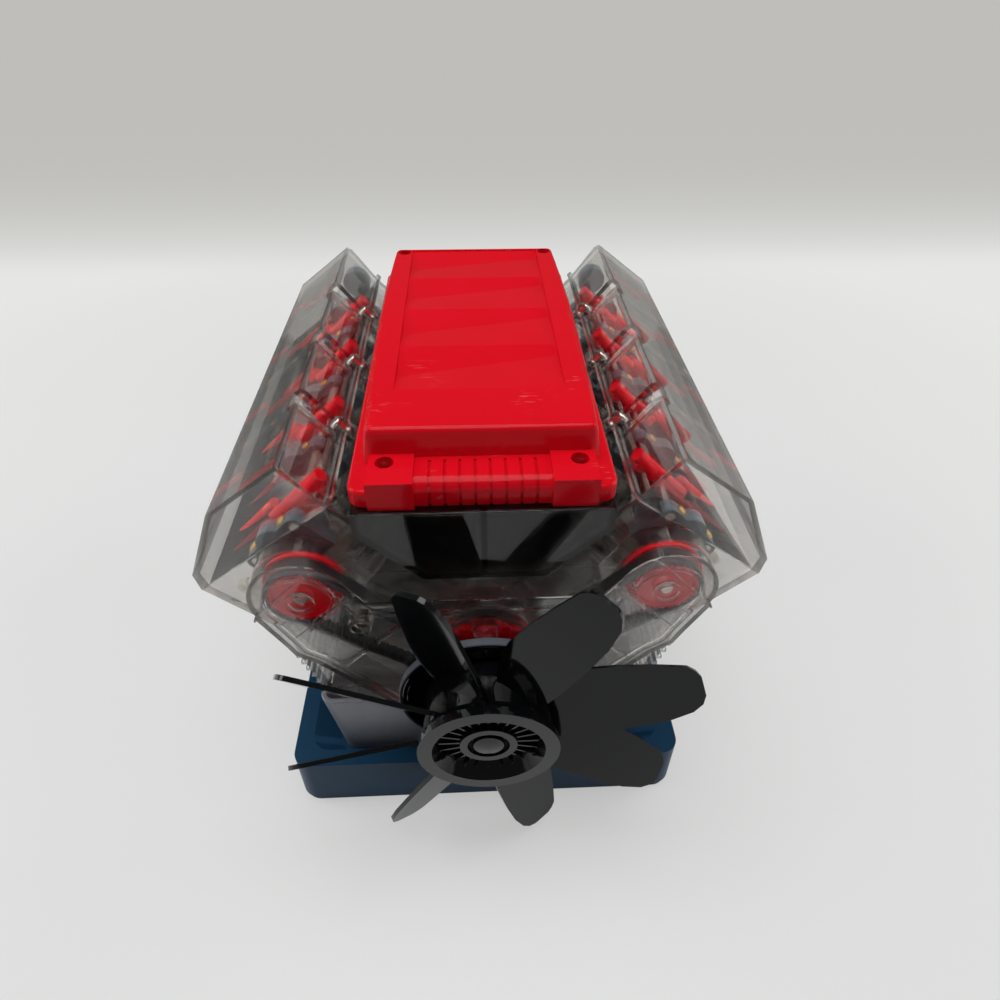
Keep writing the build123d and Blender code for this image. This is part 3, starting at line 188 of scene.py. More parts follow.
beltRubber = mouldedPlastic("nitrile_rubber", {
    "colour": "#131316", "second": "#1b1b1e", "cloudMm": 5.0, "roughness": 0.26, "rougher": 0.42,
    "peelMm": 0.5, "peel": 0.18, "ior": 1.52,
})


# Smoke-tinted crystal polystyrene: clear through a thin wall, dark along an edge.
# "straight" is the share of light that a thin flat wall lets by unbent
smokeLook = {
    "tint": "#f9f8f6", "absorb": "#9a8f86", "perMetre": 50.0, "roughness": 0.01, "ior": 1.49, "waveMm": 26.0,
    "shade": "#fbfaf8", "straight": 0.25,
}


def smokeStyrene(name, look):
    material, tree, place, out = startMaterial(name)
    wave = addNode(tree, "ShaderNodeTexNoise", {"Vector": place, "Scale": 1 / (look["waveMm"] * mm), "Detail": 1.0})
    bump = addNode(tree, "ShaderNodeBump", {"Height": wave.outputs["Fac"], "Strength": 0.01, "Distance": 0.2 * mm})
    surface = addNode(tree, "ShaderNodeBsdfPrincipled", {
        "Base Color": linear(look["tint"]), "Roughness": look["roughness"], "IOR": look["ior"],
        "Transmission Weight": 1.0, "Normal": bump.outputs["Normal"], "Alpha": 1.0 - look["straight"],
    })
    inside = addNode(tree, "ShaderNodeVolumeAbsorption", {"Color": linear(look["absorb"]), "Density": look["perMetre"]})
    clear = addNode(tree, "ShaderNodeBsdfTransparent", {"Color": linear(look["shade"])})
    ray = addNode(tree, "ShaderNodeLightPath")
    lit = addNode(tree, "ShaderNodeMixShader", {  # lamps reach the parts inside, as they do through a real clear wall
        0: ray.outputs["Is Shadow Ray"], 1: surface.outputs["BSDF"], 2: clear.outputs["BSDF"],
    })
    tree.links.new(lit.outputs["Shader"], out.inputs["Surface"])
    tree.links.new(inside.outputs["Volume"], out.inputs["Volume"])
    return material


smoke = smokeStyrene("smoke_polystyrene", smokeLook)
# Painted shade: the plenum's walls absorb far more, and darker, standing in for the shade that falls inside the engine
# under the lid
plenumSmokeWithPaintedShade = smokeStyrene("plenum_smoke_painted_shade", {
    **smokeLook, "absorb": "#4c4046", "perMetre": 330.0, "straight": 0.2,
})


# Plated steel, pressed and tumbled: bright with fine scratches
def platedSteel(name, look):
    material, tree, place, out = startMaterial(name)
    scratch = addNode(tree, "ShaderNodeTexNoise", {
        "Vector": place, "Scale": 1 / (look["scratchMm"] * mm), "Detail": 4.0,
    })
    sheen = addNode(tree, "ShaderNodeMapRange", {
        "Value": scratch.outputs["Fac"], "To Min": look["roughness"], "To Max": look["rougher"],
    })
    bump = addNode(tree, "ShaderNodeBump", {"Height": scratch.outputs["Fac"], "Strength": 0.08, "Distance": 0.05 * mm})
    surface = addNode(tree, "ShaderNodeBsdfPrincipled", {
        "Base Color": linear(look["colour"]), "Metallic": 1.0, "Roughness": sheen.outputs["Result"],
        "Normal": bump.outputs["Normal"],
    })
    tree.links.new(surface.outputs["BSDF"], out.inputs["Surface"])
    return material


nickelSteel = platedSteel("nickel_plated_steel", {
    "colour": "#cdc8bf", "scratchMm": 0.5, "roughness": 0.16, "rougher": 0.32,
})
yellowZinc = platedSteel("yellow_zinc_steel", {
    "colour": "#d3b06a", "scratchMm": 0.5, "roughness": 0.20, "rougher": 0.36,
})
springSteel = platedSteel("spring_steel", {
    "colour": "#b9b6b0", "scratchMm": 0.4, "roughness": 0.18, "rougher": 0.30,
})
print("materials made")


# Pieces taken from the frame, with their edges rounded as a mould leaves them
def smooth(mesh, angle):
    for face in mesh.polygons:
        face.use_smooth = True
    mesh.set_sharp_from_angle(angle=math.radians(angle))


def finishPiece(piece, material, body, replaced=(), angle=35.0):
    mesh = piece.data
    mesh.materials.clear()
    mesh.materials.append(material)
    if angle:
        smooth(mesh, angle)
    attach(piece, body)
    if replaced:
        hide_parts(*replaced)
    return piece


def newPiece(name, mesh):
    piece = bpy.data.objects.new(name, mesh)
    bpy.context.scene.collection.objects.link(piece)
    return piece


def plainMesh(piece):  # the evaluated shape, in place of its modifiers
    view = bpy.context.evaluated_depsgraph_get()
    mesh = bpy.data.meshes.new_from_object(piece.evaluated_get(view))
    piece.modifiers.clear()
    old = piece.data
    piece.data = mesh
    bpy.data.meshes.remove(old)
    return piece


def crisp(piece, angle):  # large faces keep their own normals, and only the edges between them turn
    smooth(piece.data, angle)
    weigh = piece.modifiers.new("normals", "WEIGHTED_NORMAL")
    weigh.keep_sharp = True
    weigh.weight = 100
    return plainMesh(piece)


def markCreases(mesh, sharp):  # steep edges, and shallow ones between two large faces
    shape = bmesh.new()
    shape.from_mesh(mesh)
    weight = shape.edges.layers.float.new("bevel_weight_edge")
    large = 300 * mm * mm
    for edge in shape.edges:
        turn = math.degrees(edge.calc_face_angle(0.0))
        broad = all(face.calc_area() > large for face in edge.link_faces)
        if turn > sharp or (broad and turn > 2.0):
            edge[weight] = 1.0
    shape.to_mesh(mesh)
    shape.free()


def bevelled(piece, width, sharp=32.0):
    markCreases(piece.data, sharp)
    bevel = piece.modifiers.new("edges", "BEVEL")
    bevel.width = width * mm
    bevel.segments = 2
    bevel.limit_method = "WEIGHT"
    bevel.use_clamp_overlap = True
    bevel.miter_outer = "MITER_ARC"
    return crisp(plainMesh(piece), 50.0)


def mergedCopy(node, name, keep=None):  # keep tells from a solid's middle whether it stays
    shape = bmesh.new()
    shape.from_mesh(nodes[node].data)
    bmesh.ops.remove_doubles(shape, verts=shape.verts, dist=0.0005 * mm)
    if keep:
        dropSolids(shape, keep)
    bmesh.ops.dissolve_limit(shape, angle_limit=math.radians(0.4), verts=shape.verts, edges=shape.edges)
    for face in shape.faces:
        face.smooth = True
    mesh = bpy.data.meshes.new(name)
    shape.to_mesh(mesh)
    shape.free()
    return newPiece(name, mesh)


def dropSolids(shape, keep):
    unseen = set(shape.verts)
    while unseen:
        start = unseen.pop()
        group, edge = [start], [start]
        while edge:
            near = [e.other_vert(v) for v in edge for e in v.link_edges]
            edge = [v for v in set(near) if v in unseen]
            unseen.difference_update(edge)
            group += edge
        middle = sum((v.co for v in group), Vector()) / len(group)
        if not keep(middle / mm):
            bmesh.ops.delete(shape, geom=group, context="VERTS")


def rounded(node, width, material, body, name):
    piece = bevelled(mergedCopy(node, name), width)
    return finishPiece(piece, material, body, [node], None)


roundings = {  # node: edge radius in mm, material, body, slot, new name
    "plenum_cover": (0.45, scuffedRedAbs, "engine", "red_plastic", "red_top_cover"),
    "base_stand": (0.9, blueAbs, "engine", "blue_plastic", "blue_stand"),
    "oil_pan": (0.7, silverAbs, "engine", "silver_plastic", "silver_sump"),
    # the plenum's dark smoke is painted shade
    "intake_plenum": (0.45, plenumSmokeWithPaintedShade, "engine", "smoke_plastic", "clear_plenum"),
    "engine_block": (0.3, smoke, "engine", "smoke_plastic", "clear_block"),
    "left_cylinder_head": (0.3, smoke, "engine", "smoke_plastic", "clear_left_head"),
    "right_cylinder_head": (0.3, smoke, "engine", "smoke_plastic", "clear_right_head"),
    "left_rocker_cover": (0.35, smoke, "engine", "smoke_plastic", "clear_left_rocker_cover"),
    "right_rocker_cover": (0.35, smoke, "engine", "smoke_plastic", "clear_right_rocker_cover"),
    "cam_bearing_stands": (0.4, slateAbs, "engine", "grey_plastic", "slate_bearing_stands"),
    "main_bearing_caps": (0.3, slateAbs, "engine", "grey_plastic", "slate_bearing_caps"),
    "rocker_shafts": (0.2, nickelSteel, "engine", "screw_steel", "steel_rocker_shafts"),
    "crankshaft": (0.3, silverAbs, "crank", "silver_plastic", "silver_crankshaft"),
    "right_camshaft": (0.2, slateAbs, "right_cam", "grey_plastic", "slate_right_camshaft"),
    "left_camshaft": (0.2, slateAbs, "left_cam", "grey_plastic", "slate_left_camshaft"),
    "belt_idler": (0.3, slateAbs, "idler", "grey_plastic", "slate_belt_idler"),
}
for number in range(1, 9):
    roundings[f"piston_{number}"] = (0.2, silverAbs, f"piston_{number}", "silver_plastic", f"silver_piston_{number}")
    roundings[f"connecting_rod_{number}"] = (0.3, slateAbs, f"rod_{number}", "grey_plastic", f"slate_rod_{number}")
for number in range(1, 17):
    roundings[f"rocker_{number}"] = (0.3, redAbs, f"rocker_{number}", "red_plastic", f"red_rocker_{number}")
for node, (width, material, body, slot, name) in roundings.items():
    rounded(node, width, material, body, name)
nodes["base_floor_plate"].data.materials.clear()
nodes["base_floor_plate"].data.materials.append(blueAbs)
print("rounded pieces:", len(roundings))


# Turned shapes
def lathe(name, profile, sides, closed=False):  # profile of (radius, height) in mm
    shape = bmesh.new()
    rings = []
    for radius, height in profile:
        count = sides if radius else 1
        turns = [2 * math.pi * i / sides for i in range(count)]
        rings.append([
            shape.verts.new((radius * mm * math.cos(t), radius * mm * math.sin(t), height * mm)) for t in turns
        ])
    pairs = list(zip(rings, rings[1:])) + ([(rings[-1], rings[0])] if closed else [])
    for low, high in pairs:
        for i in range(sides):
            corners = []
            for ring, k in ((low, i), (low, i + 1), (high, i + 1), (high, i)):
                vert = ring[k % len(ring)]
                if vert not in corners:
                    corners.append(vert)
            if len(corners) > 2:
                shape.faces.new(corners)
    bmesh.ops.recalc_face_normals(shape, faces=shape.faces)
    mesh = bpy.data.meshes.new(name)
    shape.to_mesh(mesh)
    shape.free()
    return newPiece(name, mesh)


def prism(name, outline, low, high):  # outline of (x, y) in mm, made solid from low to high
    shape = bmesh.new()
    rings = [[shape.verts.new((x * mm, y * mm, z * mm)) for x, y in outline] for z in (low, high)]
    shape.faces.new(rings[0])
    shape.faces.new(rings[1])
    for i in range(len(outline)):
        j = (i + 1) % len(outline)
        shape.faces.new((rings[0][i], rings[0][j], rings[1][j], rings[1][i]))
    bmesh.ops.recalc_face_normals(shape, faces=shape.faces)
    mesh = bpy.data.meshes.new(name)
    shape.to_mesh(mesh)
    shape.free()
    return newPiece(name, mesh)


def cut(piece, tool):
    knife = piece.modifiers.new("cut", "BOOLEAN")
    knife.operation = "DIFFERENCE"
    knife.solver = "EXACT"
    knife.object = tool
    plainMesh(piece)
    bpy.data.objects.remove(tool)
    return piece


alongEngine = Matrix.Rotation(math.radians(-90), 4, "X")  # turns +Z to the engine's back


def turned(name, profile, sides, x=0.0, z=0.0, closed=False):  # about an axis along the engine
    piece = lathe(name, profile, sides, closed)
    piece.data.transform(Matrix.Translation(row(x, 0, z)) @ alongEngine)
    return piece


# The vanes in the fan's mouth stand low, and the timing case has a round dish over the idler
fan = mergedCopy("fan", "black_fan")
cut(fan, turned("vane_cutter", [(12.0, -47.5), (23.3, -47.5), (20.5, -42.3), (12.0, -42.3)], 96, closed=True))
finishPiece(bevelled(fan, 0.35), blackAbs, "crank", ["fan"], None)
dishLook = {"rise": 38.2, "seatRadius": 17.3}
case = mergedCopy("timing_cover", "clear_timing_case")
cut(case, turned("dish_seat", [
    (0, -19.0), (dishLook["seatRadius"], -19.0), (dishLook["seatRadius"], -13.0), (0, -13.0),
], 64, z=dishLook["rise"]))
finishPiece(bevelled(case, 0.35), smoke, "engine", ["timing_cover"], None)
dish = turned("clear_idler_dish", [
    (0, -15.9), (5.0, -15.9), (5.4, -15.5), (5.4, -12.6), (6.8, -12.4), (15.7, -16.3), (16.1, -16.5), (17.25, -16.5),
    (17.25, -15.2), (7.2, -11.2), (0, -11.2),
], 64, z=dishLook["rise"])
finishPiece(dish, smoke, "engine", ["timing_cover"], 30.0)


# Geometry Nodes that repeat one unit, or a coil, at every place
def addSockets(tree, inputs):
    for name, kind in inputs.items():
        tree.interface.new_socket(name, in_out="INPUT", socket_type=kind)
    tree.interface.new_socket("Pieces", in_out="OUTPUT", socket_type="NodeSocketGeometry")
    return addNode(tree, "NodeGroupInput").outputs


def placeAndDress(tree, start, unit):
    aim = addNode(tree, "GeometryNodeInputNamedAttribute", {"Name": "aim"}, data_type="FLOAT_VECTOR")
    facing = addNode(tree, "FunctionNodeEulerToRotation", {"Euler": aim.outputs["Attribute"]})
    placed = addNode(tree, "GeometryNodeInstanceOnPoints", {
        "Points": start["Places"], "Instance": unit, "Rotation": facing.outputs["Rotation"],
    })
    real = addNode(tree, "GeometryNodeRealizeInstances", {"Geometry": placed.outputs["Instances"]})
    dressed = addNode(tree, "GeometryNodeSetMaterial", {
        "Geometry": real.outputs["Geometry"], "Material": start["Material"],
    })
    addNode(tree, "NodeGroupOutput", {"Pieces": dressed.outputs["Geometry"]})
    return tree


def repeatTree():
    tree = bpy.data.node_groups.new("repeat_unit", "GeometryNodeTree")
    start = addSockets(tree, {
        "Places": "NodeSocketGeometry", "Unit": "NodeSocketObject", "Material": "NodeSocketMaterial",
    })
    unit = addNode(tree, "GeometryNodeObjectInfo", {"Object": start["Unit"]})
    return placeAndDress(tree, start, unit.outputs["Geometry"])


def coilTree():
    tree = bpy.data.node_groups.new("coil_spring", "GeometryNodeTree")
    start = addSockets(tree, {
        "Places": "NodeSocketGeometry", "Material": "NodeSocketMaterial", "Coil radius": "NodeSocketFloat",
        "Wire radius": "NodeSocketFloat", "Height": "NodeSocketFloat", "Turns": "NodeSocketFloat",
        "Steps": "NodeSocketInt", "Sides": "NodeSocketInt",
    })
    path = addNode(tree, "GeometryNodeCurveSpiral", {
        "Resolution": start["Steps"], "Rotations": start["Turns"], "Start Radius": start["Coil radius"],
        "End Radius": start["Coil radius"], "Height": start["Height"],
    })
    wire = addNode(tree, "GeometryNodeCurvePrimitiveCircle", {
        "Resolution": start["Sides"], "Radius": start["Wire radius"],
    })
    coil = addNode(tree, "GeometryNodeCurveToMesh", {
        "Curve": path.outputs["Curve"], "Profile Curve": wire.outputs["Curve"], "Fill Caps": True,
    })
    return placeAndDress(tree, start, coil.outputs["Mesh"])


repeatUnit, coilSpring = repeatTree(), coilTree()


def grown(name, tree, spots, inputs):
    mesh = bpy.data.meshes.new(name)
    mesh.from_pydata([s.translation for s in spots], [], [])
    aims = mesh.attributes.new("aim", "FLOAT_VECTOR", "POINT")
    for i, s in enumerate(spots):
        aims.data[i].vector = s.to_euler()
    piece = newPiece(name, mesh)
    maker = piece.modifiers.new("maker", "NODES")
    maker.node_group = tree
    for socket in tree.interface.items_tree:
        if socket.item_type == "SOCKET" and socket.name in inputs:
            maker[socket.identifier] = inputs[socket.name]
    plainMesh(piece)
    if "aim" in piece.data.attributes:
        piece.data.attributes.remove(piece.data.attributes["aim"])
    return piece


def repeated(name, unit, spots, material, body, replaced=(), angle=35.0):
    piece = grown(name, repeatUnit, spots, {"Unit": unit, "Material": material})
    bpy.data.objects.remove(unit)
    return finishPiece(piece, material, body, replaced, angle)


# Cross-recess pan-head screws
screwLook = {"headRadius": 2.9, "headHeight": 1.9, "shankRadius": 1.4, "recess": 0.62, "slot": 0.2, "depth": 1.1}
brassLook = {"headRadius": 2.0, "headHeight": 1.5, "shankRadius": 1.0, "recess": 0.62, "slot": 0.2, "depth": 0.8}


def crossScrew(name, look, length):
    r, h, shank = look["headRadius"], look["headHeight"], look["shankRadius"]
    screw = lathe(name, [
        (0, -length), (shank * 0.7, -length), (shank, 0.8 - length), (shank, 0.1), (r * 0.96, 0.1), (r, 0.2),
        (r, h * 0.45), (r * 0.95, h * 0.66), (r * 0.8, h * 0.86), (r * 0.55, h * 0.96), (0, h),
    ], 24)
    reach, half = r * look["recess"], r * look["slot"] / 2
    arms = [(reach, -half), (reach, half), (half, half), (half, reach), (-half, reach), (-half, half)]
    arms += [(-reach, half), (-reach, -half), (-half, -half), (-half, -reach), (half, -reach), (half, -half)]
    return cut(screw, prism(name + "_recess", arms, h - look["depth"], h + 1))


chance = random.Random(11)
pedestalYs = [6.0, 51.5, 102.5, 153.5, 196.0]
coverScrewYs = [202.0 * share for share in (0.228, 0.483, 0.738)]
upright = Matrix.Identity(4)
facingFan = Matrix.Rotation(math.radians(90), 4, "X")


def anySpin():
    return chance.uniform(0, math.pi)


screwRows = [  # name, shank length, places
    ("lid_front_screws", 6.2, [spot(row(s * 35.4, 7.6, 102.4), upright, anySpin()) for s in (1, -1)]),
    ("lid_rear_screws", 16.2, [spot(row(s * 37.6, 179.9, 112.4), upright, anySpin()) for s in (1, -1)]),
    ("rocker_cover_screws", 6.4, [
        spot(bankRow(s, -28.4, y, 111.5), bankTurn(s), anySpin()) for s in (1, -1) for y in coverScrewYs
    ]),
    ("timing_case_screws", 13.9, [spot(row(s * 49.85, -12.5, 43.49), facingFan, anySpin()) for s in (1, -1)]),
]
for name, length, spots in screwRows:
    unit = crossScrew(name + "_unit", screwLook, length)
    repeated(name, unit, spots, nickelSteel, "engine", ["steel_screws"])
repeated("brass_stand_screws", crossScrew("brass_unit", brassLook, 6.8), [
    spot(bankRow(s, 4.6 + k * 9.2, y, 112.7), bankTurn(s), anySpin())
    for s in (1, -1) for y in pedestalYs for k in (1, -1)
], yellowZinc, "engine", ["brass_screws"])
print("screws made")

# Valves with their springs
valveKinds = {  # seat across the bank, lean, head radius, place along the engine
    "intake": {"foot": -6.0, "lean": -28.0, "head": 5.5, "offset": -5.4},
    "exhaust": {"foot": 11.0, "lean": 38.0, "head": 4.4, "offset": 5.4},
}


def valveSpots(kind, along):
    spots = []
    for side in (1, -1):
        for y in cylinderYs(side):
            lean = math.radians(kind["lean"])
            u, v = kind["foot"] + along * math.sin(lean), 83.0 + along * math.cos(lean)
            spots.append(spot(bankRow(side, u, y + kind["offset"], v), bankTurn(side, kind["lean"])))
    return spots


for name, kind in valveKinds.items():
    rim = kind["head"]
    unit = lathe(name + "_valve_unit", [
        (0, 0), (rim - 0.9, 0), (rim - 0.25, 0.1), (rim, 0.35), (rim, 0.7), (rim - 0.5, 1.15), (1.2, 1.2), (1.2, 21.8),
        (2.6, 21.8), (3.2, 22.1), (3.2, 22.6), (2.4, 23.0), (1.2, 23.0), (1.2, 24.7), (0.9, 25.0), (0, 25.0),
    ], 24)
    repeated(name + "_valves", unit, valveSpots(kind, 0.0), nickelSteel, "engine", ["valves"])
springSeat = 13.65
springLook = {
    "Coil radius": 3.05 * mm, "Wire radius": 0.5 * mm, "Height": 7.5 * mm, "Turns": 5.0, "Steps": 20, "Sides": 8,
}
coilSpots = [s for kind in valveKinds.values() for s in valveSpots(kind, springSeat)]
coils = grown("valve_spring_coils", coilSpring, coilSpots, {**springLook, "Material": springSteel})
finishPiece(coils, springSteel, "engine", ["valve_springs"], 60.0)
print("valves and springs made")

# Spark plugs: ribbed ivory insulators
plugLook = {"tip": (14.5, 85.0), "end": (50.0, 101.5), "side": -7.0}
across, up = plugLook["end"][0] - plugLook["tip"][0], plugLook["end"][1] - plugLook["tip"][1]
plugLength, plugLean = math.hypot(across, up), math.degrees(math.atan2(across, up))
plugProfile = [(0, 0), (1.1, 0), (1.4, 0.4), (1.4, 9.0), (2.4, 9.0), (2.6, 9.3)]
for i in range(5):
    rib = plugLength - 7.5 + i * 1.1
    plugProfile += [(2.6, rib), (2.15, rib + 0.25), (2.15, rib + 0.55), (2.6, rib + 0.8)]
plugProfile += [
    (2.6, plugLength - 1.6), (2.2, plugLength - 1.2), (1.5, plugLength - 1.2), (1.5, plugLength - 0.3),
    (1.2, plugLength), (0, plugLength),
]
repeated("ivory_spark_plugs", lathe("plug_unit", plugProfile, 24), [
    spot(bankRow(side, plugLook["tip"][0], y + plugLook["side"], plugLook["tip"][1]), bankTurn(side, plugLean))
    for side in (1, -1) for y in cylinderYs(side)
], ivoryAbs, "engine", ["spark_plugs"])

# Piston rings
ringLook = {"inner": 15.0, "outer": 15.85, "low": 5.75, "high": 6.85}


def wristRise(side, index):
    phase = ((0, 1, 3, 2)[index] * math.pi / 2 - side * math.radians(engine["bankAngle"])) * side
    pinX, pinZ = engine["throw"] * math.sin(phase), engine["throw"] * math.cos(phase)
    return pinZ + math.sqrt(engine["rod"] ** 2 - pinX ** 2)


for side in (1, -1):
    for index, y in enumerate(cylinderYs(side)):
        number = index + (1 if side > 0 else 5)
        a, b, c, d = (ringLook[k] for k in ("inner", "outer", "low", "high"))
        ring = lathe(f"piston_ring_{number}", [(a, c), (b, c), (b, d), (a, d)], 64, closed=True)
        ring.data.transform(spot(bankRow(side, 0, y, wristRise(side, index)), bankTurn(side)))
        finishPiece(ring, nickelSteel, f"piston_{number}")
print("plugs and rings made")

# Timing drive: toothed sprockets and a toothed belt
beltLook = {
    "front": -13.5, "back": -7.5, "teeth": 24, "tooth": 0.85, "gap": 0.3, "thickness": 1.5,
    "camRadius": 12.6, "crankRadius": 6.3, "crankTeeth": 12, "idlerRadius": 6.0, "idlerUp": 17.5, "step": 0.1,
}


def toothGaps(name, x, z, radius, teeth, phase, low, high):
    depth = beltLook["tooth"] + 0.15
    foot, mouth = radius - depth, radius + 1
    unit = prism(name + "_unit", [(foot, -0.75), (mouth, -1.05), (mouth, 1.05), (foot, 0.75)], low, high)
    spots = [spot(row(x, 0, z), alongEngine, phase + 2 * math.pi * i / teeth) for i in range(teeth)]
    piece = grown(name, repeatUnit, spots, {"Unit": unit, "Material": beltRubber})
    bpy.data.objects.remove(unit)
    return piece


def beltCircles():
    inside, outside = beltLook["gap"], beltLook["gap"] + beltLook["thickness"]
    cam = beltLook["camRadius"] + inside
    return [
        ((0, 0), beltLook["crankRadius"] + inside), ((engine["camAcross"], engine["camUp"]), cam),
        ((0, beltLook["idlerUp"]), -(beltLook["idlerRadius"] + outside)),
        ((-engine["camAcross"], engine["camUp"]), cam),
    ]


def beltPath():  # points and headings along the belt's inner side, one step apart
    circles = beltCircles()
    headings = []
    for i, ((x0, z0), r0) in enumerate(circles):
        (x1, z1), r1 = circles[(i + 1) % 4]
        headings.append(math.atan2(z1 - z0, x1 - x0) + math.asin((r0 - r1) / math.hypot(x1 - x0, z1 - z0)))
    points = []
    for i, ((x, z), radius) in enumerate(circles):
        arrive, leave = headings[i - 1], headings[i]
        while radius > 0 and leave < arrive:
            leave += 2 * math.pi
        while radius < 0 and leave > arrive:
            leave -= 2 * math.pi
        steps = max(int(abs(radius * (leave - arrive)) / beltLook["step"]), 1)
        for k in range(steps):
            a = arrive + (leave - arrive) * k / steps
            points.append((x + radius * math.sin(a), z - radius * math.cos(a), a))
        (nx, nz), nextRadius = circles[(i + 1) % 4]
        start = (x + radius * math.sin(leave), z - radius * math.cos(leave))
        end = (nx + nextRadius * math.sin(leave), nz - nextRadius * math.cos(leave))
        steps = int(math.hypot(end[0] - start[0], end[1] - start[1]) / beltLook["step"])
        for k in range(steps):
            points.append((
                start[0] + (end[0] - start[0]) * k / steps, start[1] + (end[1] - start[1]) * k / steps, leave,
            ))
    return points


path = beltPath()
camReach, crankReach = beltLook["camRadius"] + beltLook["gap"], beltLook["crankRadius"] + beltLook["gap"]
toothPitch = camReach * 2 * math.pi / beltLook["teeth"]
pitchSteps = len(path) / round(len(path) * beltLook["step"] / toothPitch)
toothSpots, toothAngles = [], {1: None, -1: None, 0: None}
for k in range(round(len(path) / pitchSteps)):
    x, z, heading = path[int(k * pitchSteps)]
    toothSpots.append(Matrix.Translation(row(x, 0, z)) @ Matrix.Rotation(-heading, 4, "Y") @ alongEngine)
    for side in (1, -1):
        if abs(math.hypot(x - side * engine["camAcross"], z - engine["camUp"]) - camReach) < 0.02:
            toothAngles[side] = math.atan2(z - engine["camUp"], x - side * engine["camAcross"])
    if abs(math.hypot(x, z) - crankReach) < 0.02:
        toothAngles[0] = math.atan2(z, x)
high = -beltLook["tooth"]
toothOutline = [(-0.75, 0.2), (0.75, 0.2), (0.5, high), (-0.5, high)]
toothUnit = prism("belt_tooth_unit", toothOutline, beltLook["front"] + 0.2, beltLook["back"] - 0.2)
repeated("rubber_belt_teeth", toothUnit, toothSpots, beltRubber, "engine")
rounded("timing_belt", 0.25, beltRubber, "engine", "rubber_timing_belt")
for side, name in ((1, "right"), (-1, "left")):
    wheel = mergedCopy(f"{name}_cam_pulley", f"red_{name}_cam_sprocket")
    cut(wheel, toothGaps(
        name + "_gaps", side * engine["camAcross"], engine["camUp"], beltLook["camRadius"], beltLook["teeth"],
        -toothAngles[side], beltLook["front"] - 1, beltLook["back"] + 0.2,
    ))
    bevelled(wheel, 0.15)
    finishPiece(wheel, redAbs, f"{name}_cam", [f"{name}_cam_pulley"], None)
gear = mergedCopy("crank_pulley", "red_crank_gear", keep=lambda middle: middle.y > engine["frontY"] - 12.0)
cut(gear, toothGaps(
    "crank_gaps", 0, 0, beltLook["crankRadius"], beltLook["crankTeeth"],
    -toothAngles[0], beltLook["front"] - 1, beltLook["back"] + 0.8,
))
bevelled(gear, 0.15)
finishPiece(gear, redAbs, "crank", ["crank_pulley"], None)
for side, name in ((1, "right"), (-1, "left")):
    pin = turned(f"steel_{name}_cam_pin", [
        (0, -14.4), (2.2, -14.4), (2.7, -13.9), (2.7, -13.45), (0, -13.45),
    ], 32, x=side * engine["camAcross"], z=engine["camUp"])
    finishPiece(pin, nickelSteel, f"{name}_cam")
wheelProfile = [
    (4.55, -21.0), (30.0, -21.0), (34.2, -21.4), (34.6, -21.8), (36.2, -21.8), (36.6, -21.4), (36.6, -18.2),
    (36.2, -18.0), (30.0, -18.0), (28.0, -17.5), (8.7, -17.5), (8.7, -13.7), (4.55, -13.7),
]
rimProfile = [(36.65, -21.0), (37.2, -21.6), (37.7, -21.6), (38.0, -21.3), (38.0, -18.3), (37.7, -18.0), (36.65, -18.0)]
for name, profile, material, slot in (
    ("black_pulley_wheel", wheelProfile, blackAbs, "black_plastic"),
    ("slate_pulley_rim", rimProfile, paleSlateAbs, "grey_plastic"),
):
    finishPiece(turned(name, profile, 96, closed=True), material, "crank", ["crank_pulley"])
print("timing drive made")


# The studio: a pale table that runs back into a curved wall, in a dim room with soft boxes
studio = {
    "floor": "#e2e3e3", "near": -1500.0, "wallY": 640.0, "curve": 170.0, "height": 430.0, "halfWidth": 2600.0,
    "tableTone": "#e6e7e5", "wallToneWithPaintedShade": "#bfbeba", "nearShare": 0.55, "worldColour": "#e6e7e8", "dim": 0.16,
    "around": 0.75, "overhead": 0.14, "gloss": 0.35, "wallGloss": 0.2,
}


def seenRays(tree, gloss):  # for the camera and for what gloss or clear plastic shows, never light on the object
    ray = addNode(tree, "ShaderNodeLightPath").outputs
    shine = combine(tree, "MULTIPLY", ray["Is Glossy Ray"], gloss)
    seen = combine(tree, "MAXIMUM", ray["Is Camera Ray"], shine)
    return combine(tree, "MAXIMUM", seen, ray["Is Transmission Ray"])


